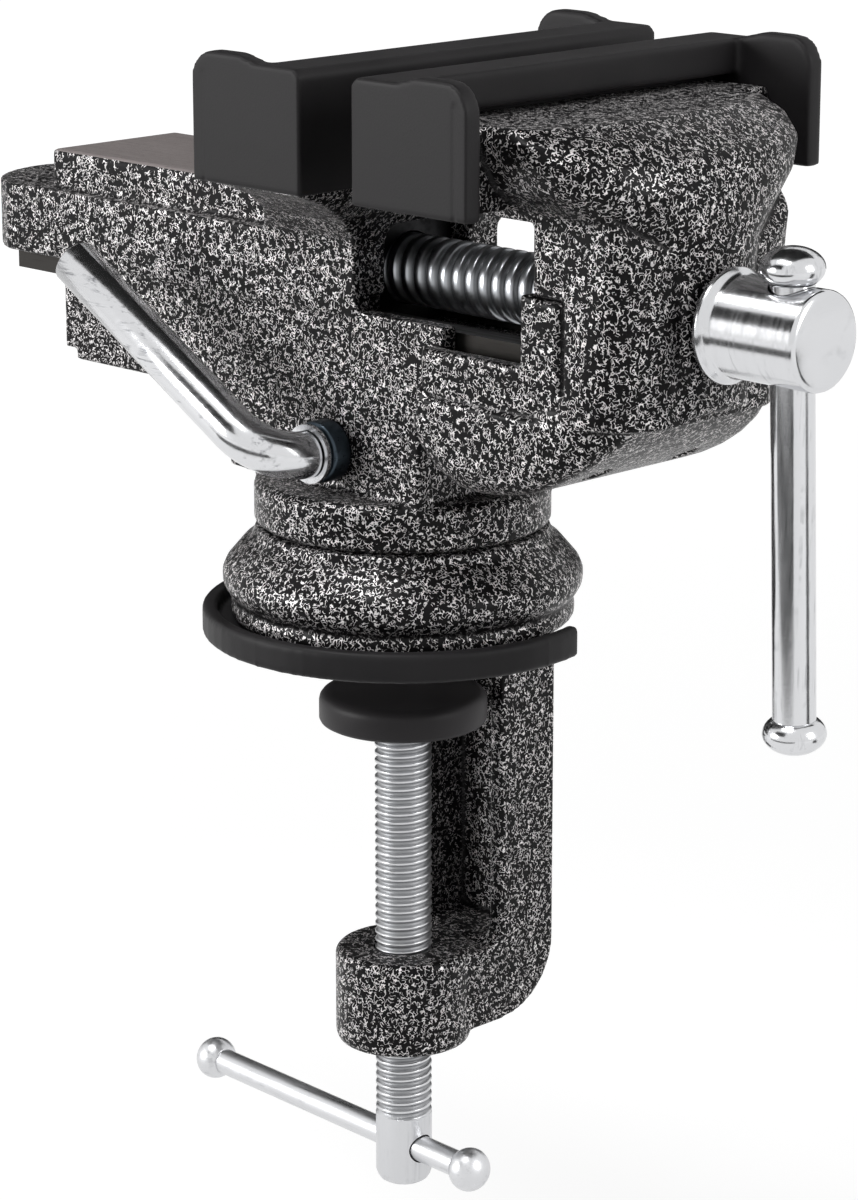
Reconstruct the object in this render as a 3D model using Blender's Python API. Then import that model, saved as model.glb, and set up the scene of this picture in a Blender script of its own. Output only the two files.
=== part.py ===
# Clamp-on vise with a swivelling body, 76 mm jaws with soft covers and a bench clamp.
#
# X is the way the jaws open, with the spindle head at +X.  Y runs along the jaws.  Z is up and
# is the swivel axis.  The origin is where the swivel axis meets the underside of the bench pad,
# the face that sits on the bench.

import math

import bmesh
import bpy
from mathutils import Matrix, Vector

MM = 0.001

# Jaws
JAW_WIDTH = 76.0 * MM
JAW_TOP = 95.4 * MM
JAW_BOTTOM = 81.0 * MM
FIXED_JAW_THICK = 19.0 * MM
MOVING_JAW_THICK = 12.7 * MM
FIXED_FACE_X = 15.2 * MM
OPENING = 11.5 * MM

# Soft jaw covers
COVER_FACE = 4.0 * MM
COVER_END = 3.2 * MM
COVER_TOP = 6.0 * MM
COVER_LIP = 9.7 * MM
COVER_DEPTH = 25.0 * MM
COVER_HEIGHT = 20.0 * MM
COVER_CORNER = 5.0 * MM
COVER_HUMP = 1.2 * MM

# Fixed body
BODY_HALF = 17.0 * MM
LEDGE_STEP = 0.5 * MM
BLOCK_REAR = -69.0 * MM
BLOCK_FRONT = 26.0 * MM
BLOCK_BOTTOM = 40.0 * MM
BLOCK_TOP = 58.5 * MM
COLUMN_FRONT = 20.3 * MM
LEDGE_BOTTOM = 46.5 * MM
SLAB_REAR = -84.0 * MM
SLAB_FRONT = 6.0 * MM
SLAB_TOP = 69.8 * MM
NOSE_REACH = 12.0 * MM
ANVIL_REAR = -74.0 * MM
ANVIL_HALF = 14.6 * MM
ANVIL_TOP = 76.8 * MM

# Swivel
SEAM_Z = 19.5 * MM
SKIRT_RADIUS = 25.4 * MM
SKIRT_HEIGHT = 8.0 * MM
SPIGOT_RADIUS = 10.5 * MM
SPIGOT_HEIGHT = 18.5 * MM
FLANGE_RADIUS = 31.0 * MM

# Spindle and its nut
SPINDLE_Z = 63.2 * MM
SPINDLE_RADIUS = 6.0 * MM
SPINDLE_PITCH = 3.0 * MM
SPINDLE_TIP_X = -56.0 * MM
HEAD_RADIUS = 8.0 * MM
HEAD_LENGTH = 16.4 * MM
COLLAR_RADIUS = 9.3 * MM
COLLAR_LENGTH = 2.8 * MM
WASHER_THICK = 1.5 * MM
SPINDLE_PIN_RADIUS = 1.0 * MM
SPINDLE_PIN_HALF = 7.4 * MM
NUT_LENGTH = 18.0 * MM
NUT_HALF = 9.5 * MM
NUT_FOOT_HALF = 7.4 * MM
NUT_TOP = 72.0 * MM
NUT_SCREW_RADIUS = 2.4 * MM

# Moving jaw casting
CORE_HALF = 20.5 * MM
BELLY_HALF = 21.2 * MM
WALL_BACK_X = 49.5 * MM
WALL_FRONT_X = 72.0 * MM
WINDOW_TOP = 78.8 * MM
CHEEK_REAR = 24.3 * MM
CHEEK_TOP = 55.7 * MM
CHEEK_STEP_X = 46.7 * MM
CHEEK_STEP_TOP = 67.3 * MM
BELLY_TOP = 47.8 * MM
BELLY_BOTTOM = 33.0 * MM
BELLY_FLAT_END = 34.0 * MM
BELLY_HEEL = 10.0 * MM
BELLY_FRONT_RISE = 20.5 * MM
BELLY_ROUND = 5.0 * MM
PROW_HALF = 30.0 * MM
NOSE_HALF = 9.5 * MM

# Slide bar
BAR_HALF = 13.0 * MM
BAR_THICK = 3.5 * MM
BAR_TOP = 57.3 * MM
BAR_REAR = -86.0 * MM
BAR_SLOT_HALF = 8.0 * MM
BAR_BRIDGE = 7.0 * MM
BAR_INSERT = 9.0 * MM
PIN_RADIUS = 2.0 * MM

# Spindle handle
HANDLE_RADIUS = 3.5 * MM
HANDLE_LENGTH = 69.5 * MM
HANDLE_LEAN = math.radians(2.6)
KNOB_RADIUS = 5.0 * MM
KNOB_HEIGHT = 7.0 * MM
KNOB_NECK_WALL = 0.5 * MM

# Swivel lock
LOCK_Z = 34.4 * MM
LOCK_HUB_RADIUS = 5.2 * MM
LOCK_HUB_LENGTH = 3.4 * MM
LOCK_STUD_RADIUS = 4.0 * MM
LOCK_RING_RADIUS = 5.0 * MM
LOCK_RING_LENGTH = 1.3 * MM
LEVER_RADIUS = 4.0 * MM
LEVER_BEND = 9.0 * MM
LEVER_LENGTH = 46.0 * MM
LEVER_ANGLE = math.radians(30.0)
SHOE_RADIUS = 3.2 * MM
SHOE_LENGTH = 3.0 * MM
SHOE_TRAVEL = 0.26 * MM

# Clamp frame
PAD_RADIUS = 34.5 * MM
PAD_HEIGHT = 5.1 * MM
PAD_FLOOR = 2.6 * MM
PAD_RIM = 2.6 * MM
PAD_CUT_Y = 8.5 * MM
SPINE_HALF = 11.0 * MM
SPINE_INNER_Y = 13.5 * MM
SPINE_DEPTH = 13.3 * MM
SPINE_WALL = 3.2 * MM
SPINE_BACK = 4.0 * MM
ARM_BOTTOM = -72.7 * MM
ARM_TOP = -58.6 * MM
ARM_CORNER = 13.0 * MM
BOSS_RADIUS = 12.0 * MM
BOSS_TOP = -57.9 * MM
BOSS_BOTTOM = -75.2 * MM

# Clamp screw, foot and bar
SCREW_RADIUS = 5.0 * MM
SCREW_END = -102.5 * MM
SCREW_PITCH = 1.5 * MM
BAR_Z = -95.3 * MM
FOOT_RADIUS = 11.0 * MM
FOOT_HEIGHT = 3.2 * MM
CAP_RADIUS = 14.6 * MM
CAP_TOP = -11.0 * MM
CAP_HEIGHT = 5.5 * MM
CAP_WALL = 2.0 * MM
TBAR_RADIUS = 2.2 * MM
TBAR_LEFT = -50.3 * MM
TBAR_RIGHT = 14.5 * MM
TBAR_TURN = math.radians(-2.7)
TBAR_KNOB_RADIUS = 3.5 * MM
TBAR_KNOB_HEIGHT = 6.0 * MM

# Fits
GAP = 0.3 * MM
RUNNING = 0.3 * MM
OVERCUT = 2.0 * MM

SEGMENTS = 40
SMALL_SEGMENTS = 24

# Colours and surface values of the finishes
FINISHES = {
    "hammer_paint": ((0.055, 0.053, 0.055), 0.35, 0.3),
    "ground_iron": ((0.11, 0.095, 0.09), 0.45, 0.6),
    "rubber": ((0.022, 0.021, 0.023), 0.6, 0.0),
    "bright_zinc": ((0.72, 0.73, 0.75), 0.18, 1.0),
    "steel_thread": ((0.34, 0.36, 0.38), 0.3, 1.0),
    "black_steel": ((0.03, 0.035, 0.04), 0.5, 0.7),
    "brass": ((0.75, 0.5, 0.2), 0.3, 1.0),
}


def clear_scene():
    for item in list(bpy.data.objects):
        bpy.data.objects.remove(item, do_unlink=True)


def finish(node_name, finish_name):
    """A Principled material of its own for one node."""
    colour, roughness, metallic = FINISHES[finish_name]
    material = bpy.data.materials.new(node_name + "_" + finish_name)
    material.use_nodes = True
    shader = material.node_tree.nodes["Principled BSDF"]
    shader.inputs["Base Color"].default_value = (*colour, 1.0)
    shader.inputs["Roughness"].default_value = roughness
    shader.inputs["Metallic"].default_value = metallic
    return material


def mesh_object(name, shape, finish_name=None, smooth_angle=35.0):
    """Turns a bmesh into an object; its normals are made to point out."""
    bmesh.ops.remove_doubles(shape, verts=shape.verts, dist=0.00001)
    bmesh.ops.recalc_face_normals(shape, faces=shape.faces)
    mesh = bpy.data.meshes.new(name)
    shape.to_mesh(mesh)
    shape.free()
    mesh.shade_smooth()
    mesh.set_sharp_from_angle(angle=math.radians(smooth_angle))
    item = bpy.data.objects.new(name, mesh)
    bpy.context.collection.objects.link(item)
    if finish_name:
        mesh.materials.append(finish(name, finish_name))
    return item


def block(x0, x1, y0, y1, z0, z1):
    """A box between two corners."""
    shape = bmesh.new()
    bmesh.ops.create_cube(shape, size=1.0)
    size = Vector((x1 - x0, y1 - y0, z1 - z0))
    middle = Vector((x1 + x0, y1 + y0, z1 + z0)) / 2
    bmesh.ops.transform(shape, matrix=Matrix.Translation(middle) @ Matrix.Diagonal(size.to_4d()),
                        verts=shape.verts)
    return shape


def soften(shape, width, segments=2, along=None):
    """Rounds the straight edges of a shape; along keeps to edges that run that way."""
    edges = []
    for edge in shape.edges:
        run = (edge.verts[1].co - edge.verts[0].co).normalized()
        if along is None or abs(run.dot(along)) > 0.99:
            edges.append(edge)
    bmesh.ops.bevel(shape, geom=edges, offset=width, segments=segments, profile=0.5,
                    affect='EDGES', clamp_overlap=True)
    return shape


def plate(outline, axis, low, high):
    """A flat outline, given in the two other axes in order, carried from low to high."""
    shape = bmesh.new()
    verts = []
    for first, second in outline:
        place = {"x": (low, first, second), "y": (first, low, second), "z": (first, second, low)}
        verts.append(shape.verts.new(place[axis]))
    face = shape.faces.new(verts)
    grown = bmesh.ops.extrude_face_region(shape, geom=[face])
    moved = [item for item in grown["geom"] if isinstance(item, bmesh.types.BMVert)]
    step = {"x": (high - low, 0, 0), "y": (0, high - low, 0), "z": (0, 0, high - low)}[axis]
    bmesh.ops.translate(shape, vec=step, verts=moved)
    bmesh.ops.recalc_face_normals(shape, faces=shape.faces)
    return shape


def turned(profile, segments=SEGMENTS):
    """A closed profile of (radius, height) turned once about Z."""
    shape = bmesh.new()
    rings = []
    for radius, height in profile:
        if radius < 1e-7:
            rings.append([shape.verts.new((0, 0, height))])
            continue
        ring = []
        for step in range(segments):
            angle = 2 * math.pi * step / segments
            ring.append(shape.verts.new((radius * math.cos(angle), radius * math.sin(angle), height)))
        rings.append(ring)
    pairs = list(zip(rings, rings[1:]))
    if len(rings[0]) > 1:
        pairs.append((rings[-1], rings[0]))
    for lower, upper in pairs:
        for step in range(segments):
            after = (step + 1) % segments
            corners = [lower[step % len(lower)], lower[after % len(lower)],
                       upper[after % len(upper)], upper[step % len(upper)]]
            corners = list(dict.fromkeys(corners))
            if len(corners) > 2:
                shape.faces.new(corners)
    bmesh.ops.recalc_face_normals(shape, faces=shape.faces)
    return shape


def moved(shape, place=(0, 0, 0), towards="z"):
    """Turns a shape from Z towards X or Y, then places it."""
    turn = {"z": Matrix.Identity(4),
            "x": Matrix.Rotation(math.pi / 2, 4, 'Y'),
            "y": Matrix.Rotation(-math.pi / 2, 4, 'X')}[towards]
    bmesh.ops.transform(shape, matrix=Matrix.Translation(place) @ turn, verts=shape.verts)
    return shape


def rod(radius, low, high, segments=SEGMENTS, chamfer=0.0):
    """A solid round bar along Z."""
    if chamfer:
        return turned([(0, low), (radius - chamfer, low), (radius, low + chamfer),
                       (radius, high - chamfer), (radius - chamfer, high), (0, high)], segments)
    return turned([(0, low), (radius, low), (radius, high), (0, high)], segments)


def arc(centre, radius, start, stop, steps):
    """Points on an arc, angles in degrees."""
    points = []
    for step in range(steps + 1):
        angle = math.radians(start + (stop - start) * step / steps)
        points.append((centre[0] + radius * math.cos(angle), centre[1] + radius * math.sin(angle)))
    return points


def combine(target, shape, operation):
    """Joins a shape to an object or cuts it away."""
    tool = mesh_object(target.name + "_tool", shape)
    tool.hide_render = True
    tool.display_type = 'WIRE'
    modifier = target.modifiers.new(operation.lower(), 'BOOLEAN')
    modifier.operation = operation
    modifier.solver = 'EXACT'
    modifier.object = tool
    bpy.context.view_layer.update()
    result = bpy.data.meshes.new_from_object(
        target.evaluated_get(bpy.context.evaluated_depsgraph_get()))
    target.modifiers.clear()
    old = target.data
    target.data = result
    bpy.data.meshes.remove(old)
    bpy.data.objects.remove(tool, do_unlink=True)


def join(target, shape):
    combine(target, shape, 'UNION')


def cut(target, shape):
    combine(target, shape, 'DIFFERENCE')


def shade(item, angle=35.0):
    item.data.shade_smooth()
    item.data.set_sharp_from_angle(angle=math.radians(angle))


def set_origin(item, place):
    """Puts the object's origin on its joint axis without moving its surface."""
    place = Vector(place)
    item.data.transform(Matrix.Translation(-place))
    item.location = place


def loft(sections):
    """Skins a stack of closed outlines that all have as many points."""
    shape = bmesh.new()
    rings = [[shape.verts.new(point) for point in section] for section in sections]
    count = len(rings[0])
    for lower, upper in zip(rings, rings[1:]):
        for step in range(count):
            after = (step + 1) % count
            shape.faces.new([lower[step], lower[after], upper[after], upper[step]])
    shape.faces.new(rings[0])
    shape.faces.new(rings[-1])
    bmesh.ops.recalc_face_normals(shape, faces=shape.faces)
    return shape


# Places worked out from the sizes above
MOVING_FACE_X = FIXED_FACE_X + OPENING + 2 * COVER_FACE
COLLAR_X = WALL_FRONT_X + GAP
HEAD_END_X = COLLAR_X + COLLAR_LENGTH + HEAD_LENGTH
SPINDLE_PIN_X = WALL_BACK_X - GAP - WASHER_THICK - GAP - SPINDLE_PIN_RADIUS
HANDLE_X = COLLAR_X + COLLAR_LENGTH + 0.6 * HEAD_LENGTH
SLOT_TOP = BAR_TOP + RUNNING
SLOT_BOTTOM = BAR_TOP - BAR_THICK - RUNNING
SKIRT_TOP = SEAM_Z + SKIRT_HEIGHT
SOCKET_RADIUS = SPIGOT_RADIUS + RUNNING
SOCKET_TOP = SEAM_Z + SPIGOT_HEIGHT + RUNNING
SPINE_OUTER_Y = SPINE_INNER_Y + SPINE_DEPTH
NUT_FRONT_X = SLAB_FRONT - 4.0 * MM
NUT_REAR_X = NUT_FRONT_X - NUT_LENGTH
LOCK_HUB_Y = -BODY_HALF - GAP
LOCK_TIP_Y = -SPIGOT_RADIUS - GAP - SHOE_LENGTH - GAP
RING_Y = LOCK_HUB_Y - LOCK_HUB_LENGTH - GAP
LEVER_Y = RING_Y - LOCK_RING_LENGTH - GAP


def clamp_frame():
    """Swivel base, spine, lower arm and screw boss, one casting."""
    seat = PAD_FLOOR + GAP
    top = SEAM_Z - GAP
    foot = PAD_RADIUS - PAD_RIM - 2.4 * MM
    groove = LOCK_Z
    profile = [(0, seat), (foot - 0.8 * MM, seat), (foot, seat + 0.8 * MM)]
    profile += [(foot, PAD_HEIGHT + 0.2 * MM)]
    profile += arc((FLANGE_RADIUS - 4.2 * MM, PAD_HEIGHT + 5.2 * MM), 4.2 * MM, -60, 50, 6)
    profile += arc((SKIRT_RADIUS + 3.6 * MM, top + 0.4 * MM), 3.9 * MM, 245, 184, 5)
    profile += [(SKIRT_RADIUS - 0.6 * MM, top - 0.5 * MM), (SKIRT_RADIUS - 1.1 * MM, top)]
    profile += [(SPIGOT_RADIUS, top), (SPIGOT_RADIUS, groove - 2.0 * MM)]
    profile += [(SPIGOT_RADIUS - 1.2 * MM, groove), (SPIGOT_RADIUS, groove + 2.0 * MM)]
    spigot_top = SEAM_Z + SPIGOT_HEIGHT
    profile += [(SPIGOT_RADIUS, spigot_top - 1.0 * MM), (SPIGOT_RADIUS - 1.0 * MM, spigot_top)]
    profile += [(0, spigot_top)]
    item = mesh_object("clamp_frame", turned(profile, 48), "hammer_paint")

    # The spine and the lower arm are one bent outline, seen from the side
    outline = [(SPINE_INNER_Y, PAD_HEIGHT + 3.0 * MM)]
    inner_corner = 3.0 * MM
    outline += arc((SPINE_INNER_Y - inner_corner, ARM_TOP + inner_corner), inner_corner, 0, -90, 4)
    outline += [(0, ARM_TOP), (0, ARM_BOTTOM)]
    outline += arc((SPINE_OUTER_Y - ARM_CORNER, ARM_BOTTOM + ARM_CORNER), ARM_CORNER, -90, 0, 8)
    outline += [(SPINE_OUTER_Y, PAD_HEIGHT + 3.0 * MM)]
    spine = plate(outline, "x", -SPINE_HALF, SPINE_HALF)
    soften(spine, 1.0 * MM, 2, Vector((0, 0, 1)))
    join(item, spine)

    # The channel in the spine is open towards the screw
    channel = block(-SPINE_HALF + SPINE_WALL, SPINE_HALF - SPINE_WALL,
                    SPINE_INNER_Y - OVERCUT, SPINE_OUTER_Y - SPINE_BACK,
                    ARM_TOP + 0.6 * MM, seat)
    soften(channel, 2.0 * MM, 3, Vector((0, 1, 0)))
    cut(item, channel)

    boss = turned([(0, BOSS_BOTTOM), (BOSS_RADIUS - 1.6 * MM, BOSS_BOTTOM),
                   (BOSS_RADIUS - 0.4 * MM, BOSS_BOTTOM + 0.5 * MM),
                   (BOSS_RADIUS, BOSS_BOTTOM + 1.8 * MM), (BOSS_RADIUS, BOSS_TOP - 0.8 * MM),
                   (BOSS_RADIUS - 0.8 * MM, BOSS_TOP), (0, BOSS_TOP)])
    join(item, boss)
    cut(item, rod(SCREW_RADIUS + RUNNING, BOSS_BOTTOM - OVERCUT, BOSS_TOP + OVERCUT))
    shade(item)
    return item


def bench_pad():
    """Soft tray under the base, cut straight where the edge of the bench ends at the spine."""
    inner = PAD_RADIUS - PAD_RIM
    lip = 0.5 * MM
    profile = [(0, 0), (PAD_RADIUS - lip, 0), (PAD_RADIUS, lip), (PAD_RADIUS, PAD_HEIGHT - lip),
               (PAD_RADIUS - lip, PAD_HEIGHT), (inner + lip, PAD_HEIGHT), (inner, PAD_HEIGHT - lip),
               (inner, PAD_FLOOR), (0, PAD_FLOOR)]
    item = mesh_object("bench_pad", turned(profile, 64), "rubber")
    cut(item, block(-PAD_RADIUS - OVERCUT, PAD_RADIUS + OVERCUT, PAD_CUT_Y, PAD_RADIUS + OVERCUT,
                    -OVERCUT, PAD_HEIGHT + OVERCUT))
    shade(item)
    return item


def body_side_outline():
    """Base block and column seen from the side, from the rear top corner round."""
    sweep = 14.0 * MM
    outline = [(BLOCK_REAR, BLOCK_TOP), (BLOCK_REAR, BLOCK_BOTTOM + 2.0 * MM)]
    outline += [(BLOCK_REAR + 3.0 * MM, BLOCK_BOTTOM + 2.0 * MM), (BLOCK_REAR + 3.0 * MM, BLOCK_BOTTOM)]
    outline += [(-SKIRT_RADIUS - sweep - 4.0 * MM, BLOCK_BOTTOM)]
    outline += arc((-SKIRT_RADIUS - sweep, SKIRT_TOP - 1.5 * MM), sweep, 88, 6, 7)
    outline += [(COLUMN_FRONT, SKIRT_TOP - 2.0 * MM)]
    outline += [(COLUMN_FRONT, LEDGE_BOTTOM - BLOCK_FRONT + COLUMN_FRONT)]
    outline += [(BLOCK_FRONT, LEDGE_BOTTOM), (BLOCK_FRONT, BLOCK_TOP)]
    return outline


def slab_outline():
    """The slab seen from above, with its rounded nose at the rear."""
    radius = (BODY_HALF ** 2 + NOSE_REACH ** 2) / (2 * NOSE_REACH)
    centre = SLAB_REAR - NOSE_REACH + radius
    half_angle = math.degrees(math.asin(BODY_HALF / radius))
    outline = [(SLAB_FRONT, -BODY_HALF), (SLAB_FRONT, BODY_HALF)]
    outline += arc((centre, 0), radius, 180 - half_angle, 180 + half_angle, 14)
    return outline


def jaw_flare():
    """The fixed jaw grows from the width of the slab to the full jaw width."""
    rear = FIXED_FACE_X - FIXED_JAW_THICK
    half = JAW_WIDTH / 2
    levels = [(SLAB_TOP - 2.0 * MM, rear - 15.0 * MM, SLAB_FRONT - 0.2 * MM, BODY_HALF - 0.2 * MM),
              (SLAB_TOP + 0.5 * MM, rear - 13.0 * MM, SLAB_FRONT + 0.5 * MM, BODY_HALF + 0.4 * MM),
              (SLAB_TOP + 4.5 * MM, rear - 8.0 * MM, SLAB_FRONT + 3.0 * MM, BODY_HALF + 5.0 * MM),
              (SLAB_TOP + 8.5 * MM, rear - 3.0 * MM, FIXED_FACE_X - 2.0 * MM, half - 8.0 * MM),
              (JAW_BOTTOM, rear, FIXED_FACE_X, half), (JAW_TOP - 1.5 * MM, rear, FIXED_FACE_X, half),
              (JAW_TOP, rear + 1.5 * MM, FIXED_FACE_X, half - 1.0 * MM)]
    sections = []
    for height, x0, x1, y in levels:
        corner = 1.5 * MM
        section = [(x1, -y, height), (x1, y, height)]
        section += [(x0 + corner, y, height), (x0, y - corner, height)]
        section += [(x0, -y + corner, height), (x0 + corner, -y, height)]
        sections.append(section)
    return loft(sections)


def swivel_body():
    """Fixed jaw, anvil, screw tunnel and swivel skirt, one casting."""
    skirt = turned([(0, SEAM_Z), (SKIRT_RADIUS - 1.0 * MM, SEAM_Z), (SKIRT_RADIUS, SEAM_Z + 0.8 * MM),
                    (SKIRT_RADIUS, SKIRT_TOP - 1.2 * MM), (SKIRT_RADIUS - 1.2 * MM, SKIRT_TOP),
                    (0, SKIRT_TOP)], 64)
    item = mesh_object("swivel_body", skirt, "hammer_paint")
    side = plate(body_side_outline(), "y", -BODY_HALF + LEDGE_STEP, BODY_HALF - LEDGE_STEP)
    join(item, side)
    slab = plate(slab_outline(), "z", BLOCK_TOP - 0.8 * MM, SLAB_TOP)
    join(item, slab)
    anvil = block(ANVIL_REAR, FIXED_FACE_X - FIXED_JAW_THICK + 4.0 * MM, -ANVIL_HALF, ANVIL_HALF,
                  SLAB_TOP - 1.0 * MM, ANVIL_TOP)
    soften(anvil, 0.8 * MM, 2)
    join(item, anvil)
    join(item, jaw_flare())

    # Socket for the spigot, and the hole of the screw that holds the nut
    cut(item, rod(SOCKET_RADIUS, SEAM_Z - OVERCUT, SOCKET_TOP))
    nut_middle = (NUT_FRONT_X + NUT_REAR_X) / 2
    head_top = SOCKET_TOP + 4.0 * MM
    narrow = NUT_SCREW_RADIUS + RUNNING
    wide = 2 * NUT_SCREW_RADIUS + RUNNING
    screw_hole = turned([(0, SOCKET_TOP - OVERCUT), (wide, SOCKET_TOP - OVERCUT), (wide, head_top),
                         (narrow, head_top), (narrow, SLOT_BOTTOM + OVERCUT), (0, SLOT_BOTTOM + OVERCUT)], 20)
    cut(item, moved(screw_hole, (nut_middle, 0, 0)))

    # Slot for the slide bar, right through the body
    cut(item, block(BLOCK_REAR - OVERCUT, BLOCK_FRONT + OVERCUT, -BAR_HALF - RUNNING,
                    BAR_HALF + RUNNING, SLOT_BOTTOM, SLOT_TOP))
    # In front of the slab the slot is open above
    cut(item, block(SLAB_FRONT - 1.0 * MM, BLOCK_FRONT + OVERCUT, -BAR_HALF - RUNNING,
                    BAR_HALF + RUNNING, SLOT_BOTTOM, BLOCK_TOP + OVERCUT))
    # Pocket for the nut, open to the front, and the tunnel of the spindle behind it
    cut(item, block(NUT_REAR_X - GAP, SLAB_FRONT + OVERCUT, -NUT_HALF - GAP, NUT_HALF + GAP,
                    SLOT_TOP - 0.1 * MM, NUT_TOP + GAP))
    tunnel_end = SPINDLE_TIP_X - OPENING - 4.0 * MM
    tunnel = rod(SPINDLE_RADIUS + 0.8 * MM, tunnel_end, NUT_REAR_X + OVERCUT, SMALL_SEGMENTS)
    cut(item, moved(tunnel, (0, 0, SPINDLE_Z), "x"))
    cut(item, block(tunnel_end, NUT_REAR_X + OVERCUT, -SPINDLE_RADIUS, SPINDLE_RADIUS,
                    SLOT_BOTTOM + 1.0 * MM, SPINDLE_Z))

    # Hole of the lock screw
    lock = rod(LOCK_STUD_RADIUS + RUNNING, -BODY_HALF - 10.0 * MM, -SPIGOT_RADIUS + OVERCUT, SMALL_SEGMENTS)
    cut(item, moved(lock, (0, 0, LOCK_Z), "y"))
    shade(item)
    return item


def jaw_cover(name, face_x, side):
    """Soft cover over one jaw; side is +1 for the moving jaw and -1 for the fixed one."""
    half = JAW_WIDTH / 2 + GAP
    outer = half + COVER_END
    top = JAW_TOP + GAP + COVER_TOP
    bottom = top - COVER_HEIGHT
    working = face_x - side * COVER_FACE
    back = working + side * COVER_DEPTH
    lip = working + side * COVER_LIP
    # The end walls rise a little towards their rounded back corner
    hump = top + COVER_HUMP
    outline = [(working, bottom), (working, top - 1.2 * MM), (working + side * 1.2 * MM, top)]
    outline += [(lip, top), (lip + side * 5.0 * MM, hump)]
    corner = arc((0, 0), COVER_CORNER, 90, 0, 5)
    outline += [(back + side * (x - COVER_CORNER), hump - COVER_CORNER + z) for x, z in corner]
    outline += [(back, bottom)]
    item = mesh_object(name, plate(outline, "y", -outer, outer), "rubber")
    cavity_x = face_x - side * GAP
    far = back + side * OVERCUT
    cut(item, block(min(cavity_x, far), max(cavity_x, far), -half, half,
                    bottom - OVERCUT, JAW_TOP + GAP))
    cut(item, block(min(lip, far), max(lip, far), -half, half, bottom - OVERCUT, hump + OVERCUT))
    shade(item)
    return item


def belly():
    """Boat shaped underside of the moving jaw, narrow and raised towards the front."""
    flat_end = BELLY_FLAT_END
    front = WALL_FRONT_X - 0.5 * MM
    rise = BELLY_FRONT_RISE
    run = front - flat_end
    radius = (run ** 2 + rise ** 2) / (2 * rise)
    taper_start = WALL_BACK_X
    sections = []
    for step in range(13):
        x = CHEEK_REAR + (front - CHEEK_REAR) * step / 12
        past = max(0.0, x - flat_end)
        heel = max(0.0, 1 - (x - CHEEK_REAR) / BELLY_HEEL)
        bottom = BELLY_BOTTOM + radius - math.sqrt(radius ** 2 - past ** 2) + 0.5 * BELLY_HEEL * heel ** 2
        share = max(0.0, x - taper_start) / (front - taper_start)
        half = NOSE_HALF + (BELLY_HALF - NOSE_HALF) * math.sqrt(max(0.0, 1 - share ** 2))
        corner = BELLY_ROUND * (1 - 0.6 * step / 12)
        top = BELLY_TOP + 0.25 * max(0.0, bottom - BELLY_BOTTOM)
        right_side = [(half - corner + corner * math.cos(math.radians(angle)),
                       bottom + corner + corner * math.sin(math.radians(angle)))
                      for angle in (0, -22.5, -45, -67.5, -90)]
        right_side.insert(0, (half, top))
        left_side = [(-y, z) for y, z in reversed(right_side)]
        sections.append([(x, y, z) for y, z in right_side + left_side])
    return loft(sections)


def prow():
    """Domed front of the moving jaw: wide under the cover, narrow at the spindle."""
    # height, half width, X of the side corner, X of the front, fullness of the dome
    levels = [(SPINDLE_Z - 14.0 * MM, NOSE_HALF + 2.0 * MM, WALL_FRONT_X - 8.0 * MM, WALL_FRONT_X - 1.5 * MM, 2.6),
              (SPINDLE_Z, NOSE_HALF + 0.5 * MM, WALL_FRONT_X - 7.0 * MM, WALL_FRONT_X, 2.6),
              (SPINDLE_Z + 9.0 * MM, NOSE_HALF + 1.5 * MM, WALL_FRONT_X - 7.0 * MM, WALL_FRONT_X, 2.4),
              (SPINDLE_Z + 13.0 * MM, NOSE_HALF + 5.0 * MM, WALL_FRONT_X - 10.0 * MM, WALL_FRONT_X, 2.2),
              (SPINDLE_Z + 17.0 * MM, CORE_HALF, WALL_FRONT_X - 13.0 * MM, WALL_FRONT_X - 0.3 * MM, 2.2),
              (SPINDLE_Z + 21.5 * MM, PROW_HALF - 3.5 * MM, WALL_FRONT_X - 14.5 * MM, WALL_FRONT_X - 1.0 * MM, 2.3),
              (SPINDLE_Z + 26.0 * MM, PROW_HALF - 0.8 * MM, WALL_FRONT_X - 15.0 * MM, WALL_FRONT_X - 3.0 * MM, 2.4),
              (JAW_TOP - 3.0 * MM, PROW_HALF, WALL_FRONT_X - 17.5 * MM, WALL_FRONT_X - 7.5 * MM, 2.4),
              (JAW_TOP - 0.8 * MM, PROW_HALF - 1.0 * MM, WALL_FRONT_X - 20.5 * MM, WALL_FRONT_X - 12.0 * MM, 2.2)]
    sections = []
    for height, width, side_x, front, power in levels:
        back = MOVING_FACE_X + 4.0 * MM if height > WINDOW_TOP else WALL_BACK_X + 1.0 * MM
        section = [(back, -width, height)]
        for step in range(25):
            share = math.sin(math.radians(-90 + 180 * step / 24))
            reach = max(0.0, 1 - abs(share) ** power) ** (1 / power)
            section.append((side_x + (front - side_x) * reach, width * share, height))
        section.append((back, width, height))
        sections.append(section)
    return loft(sections)


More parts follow.
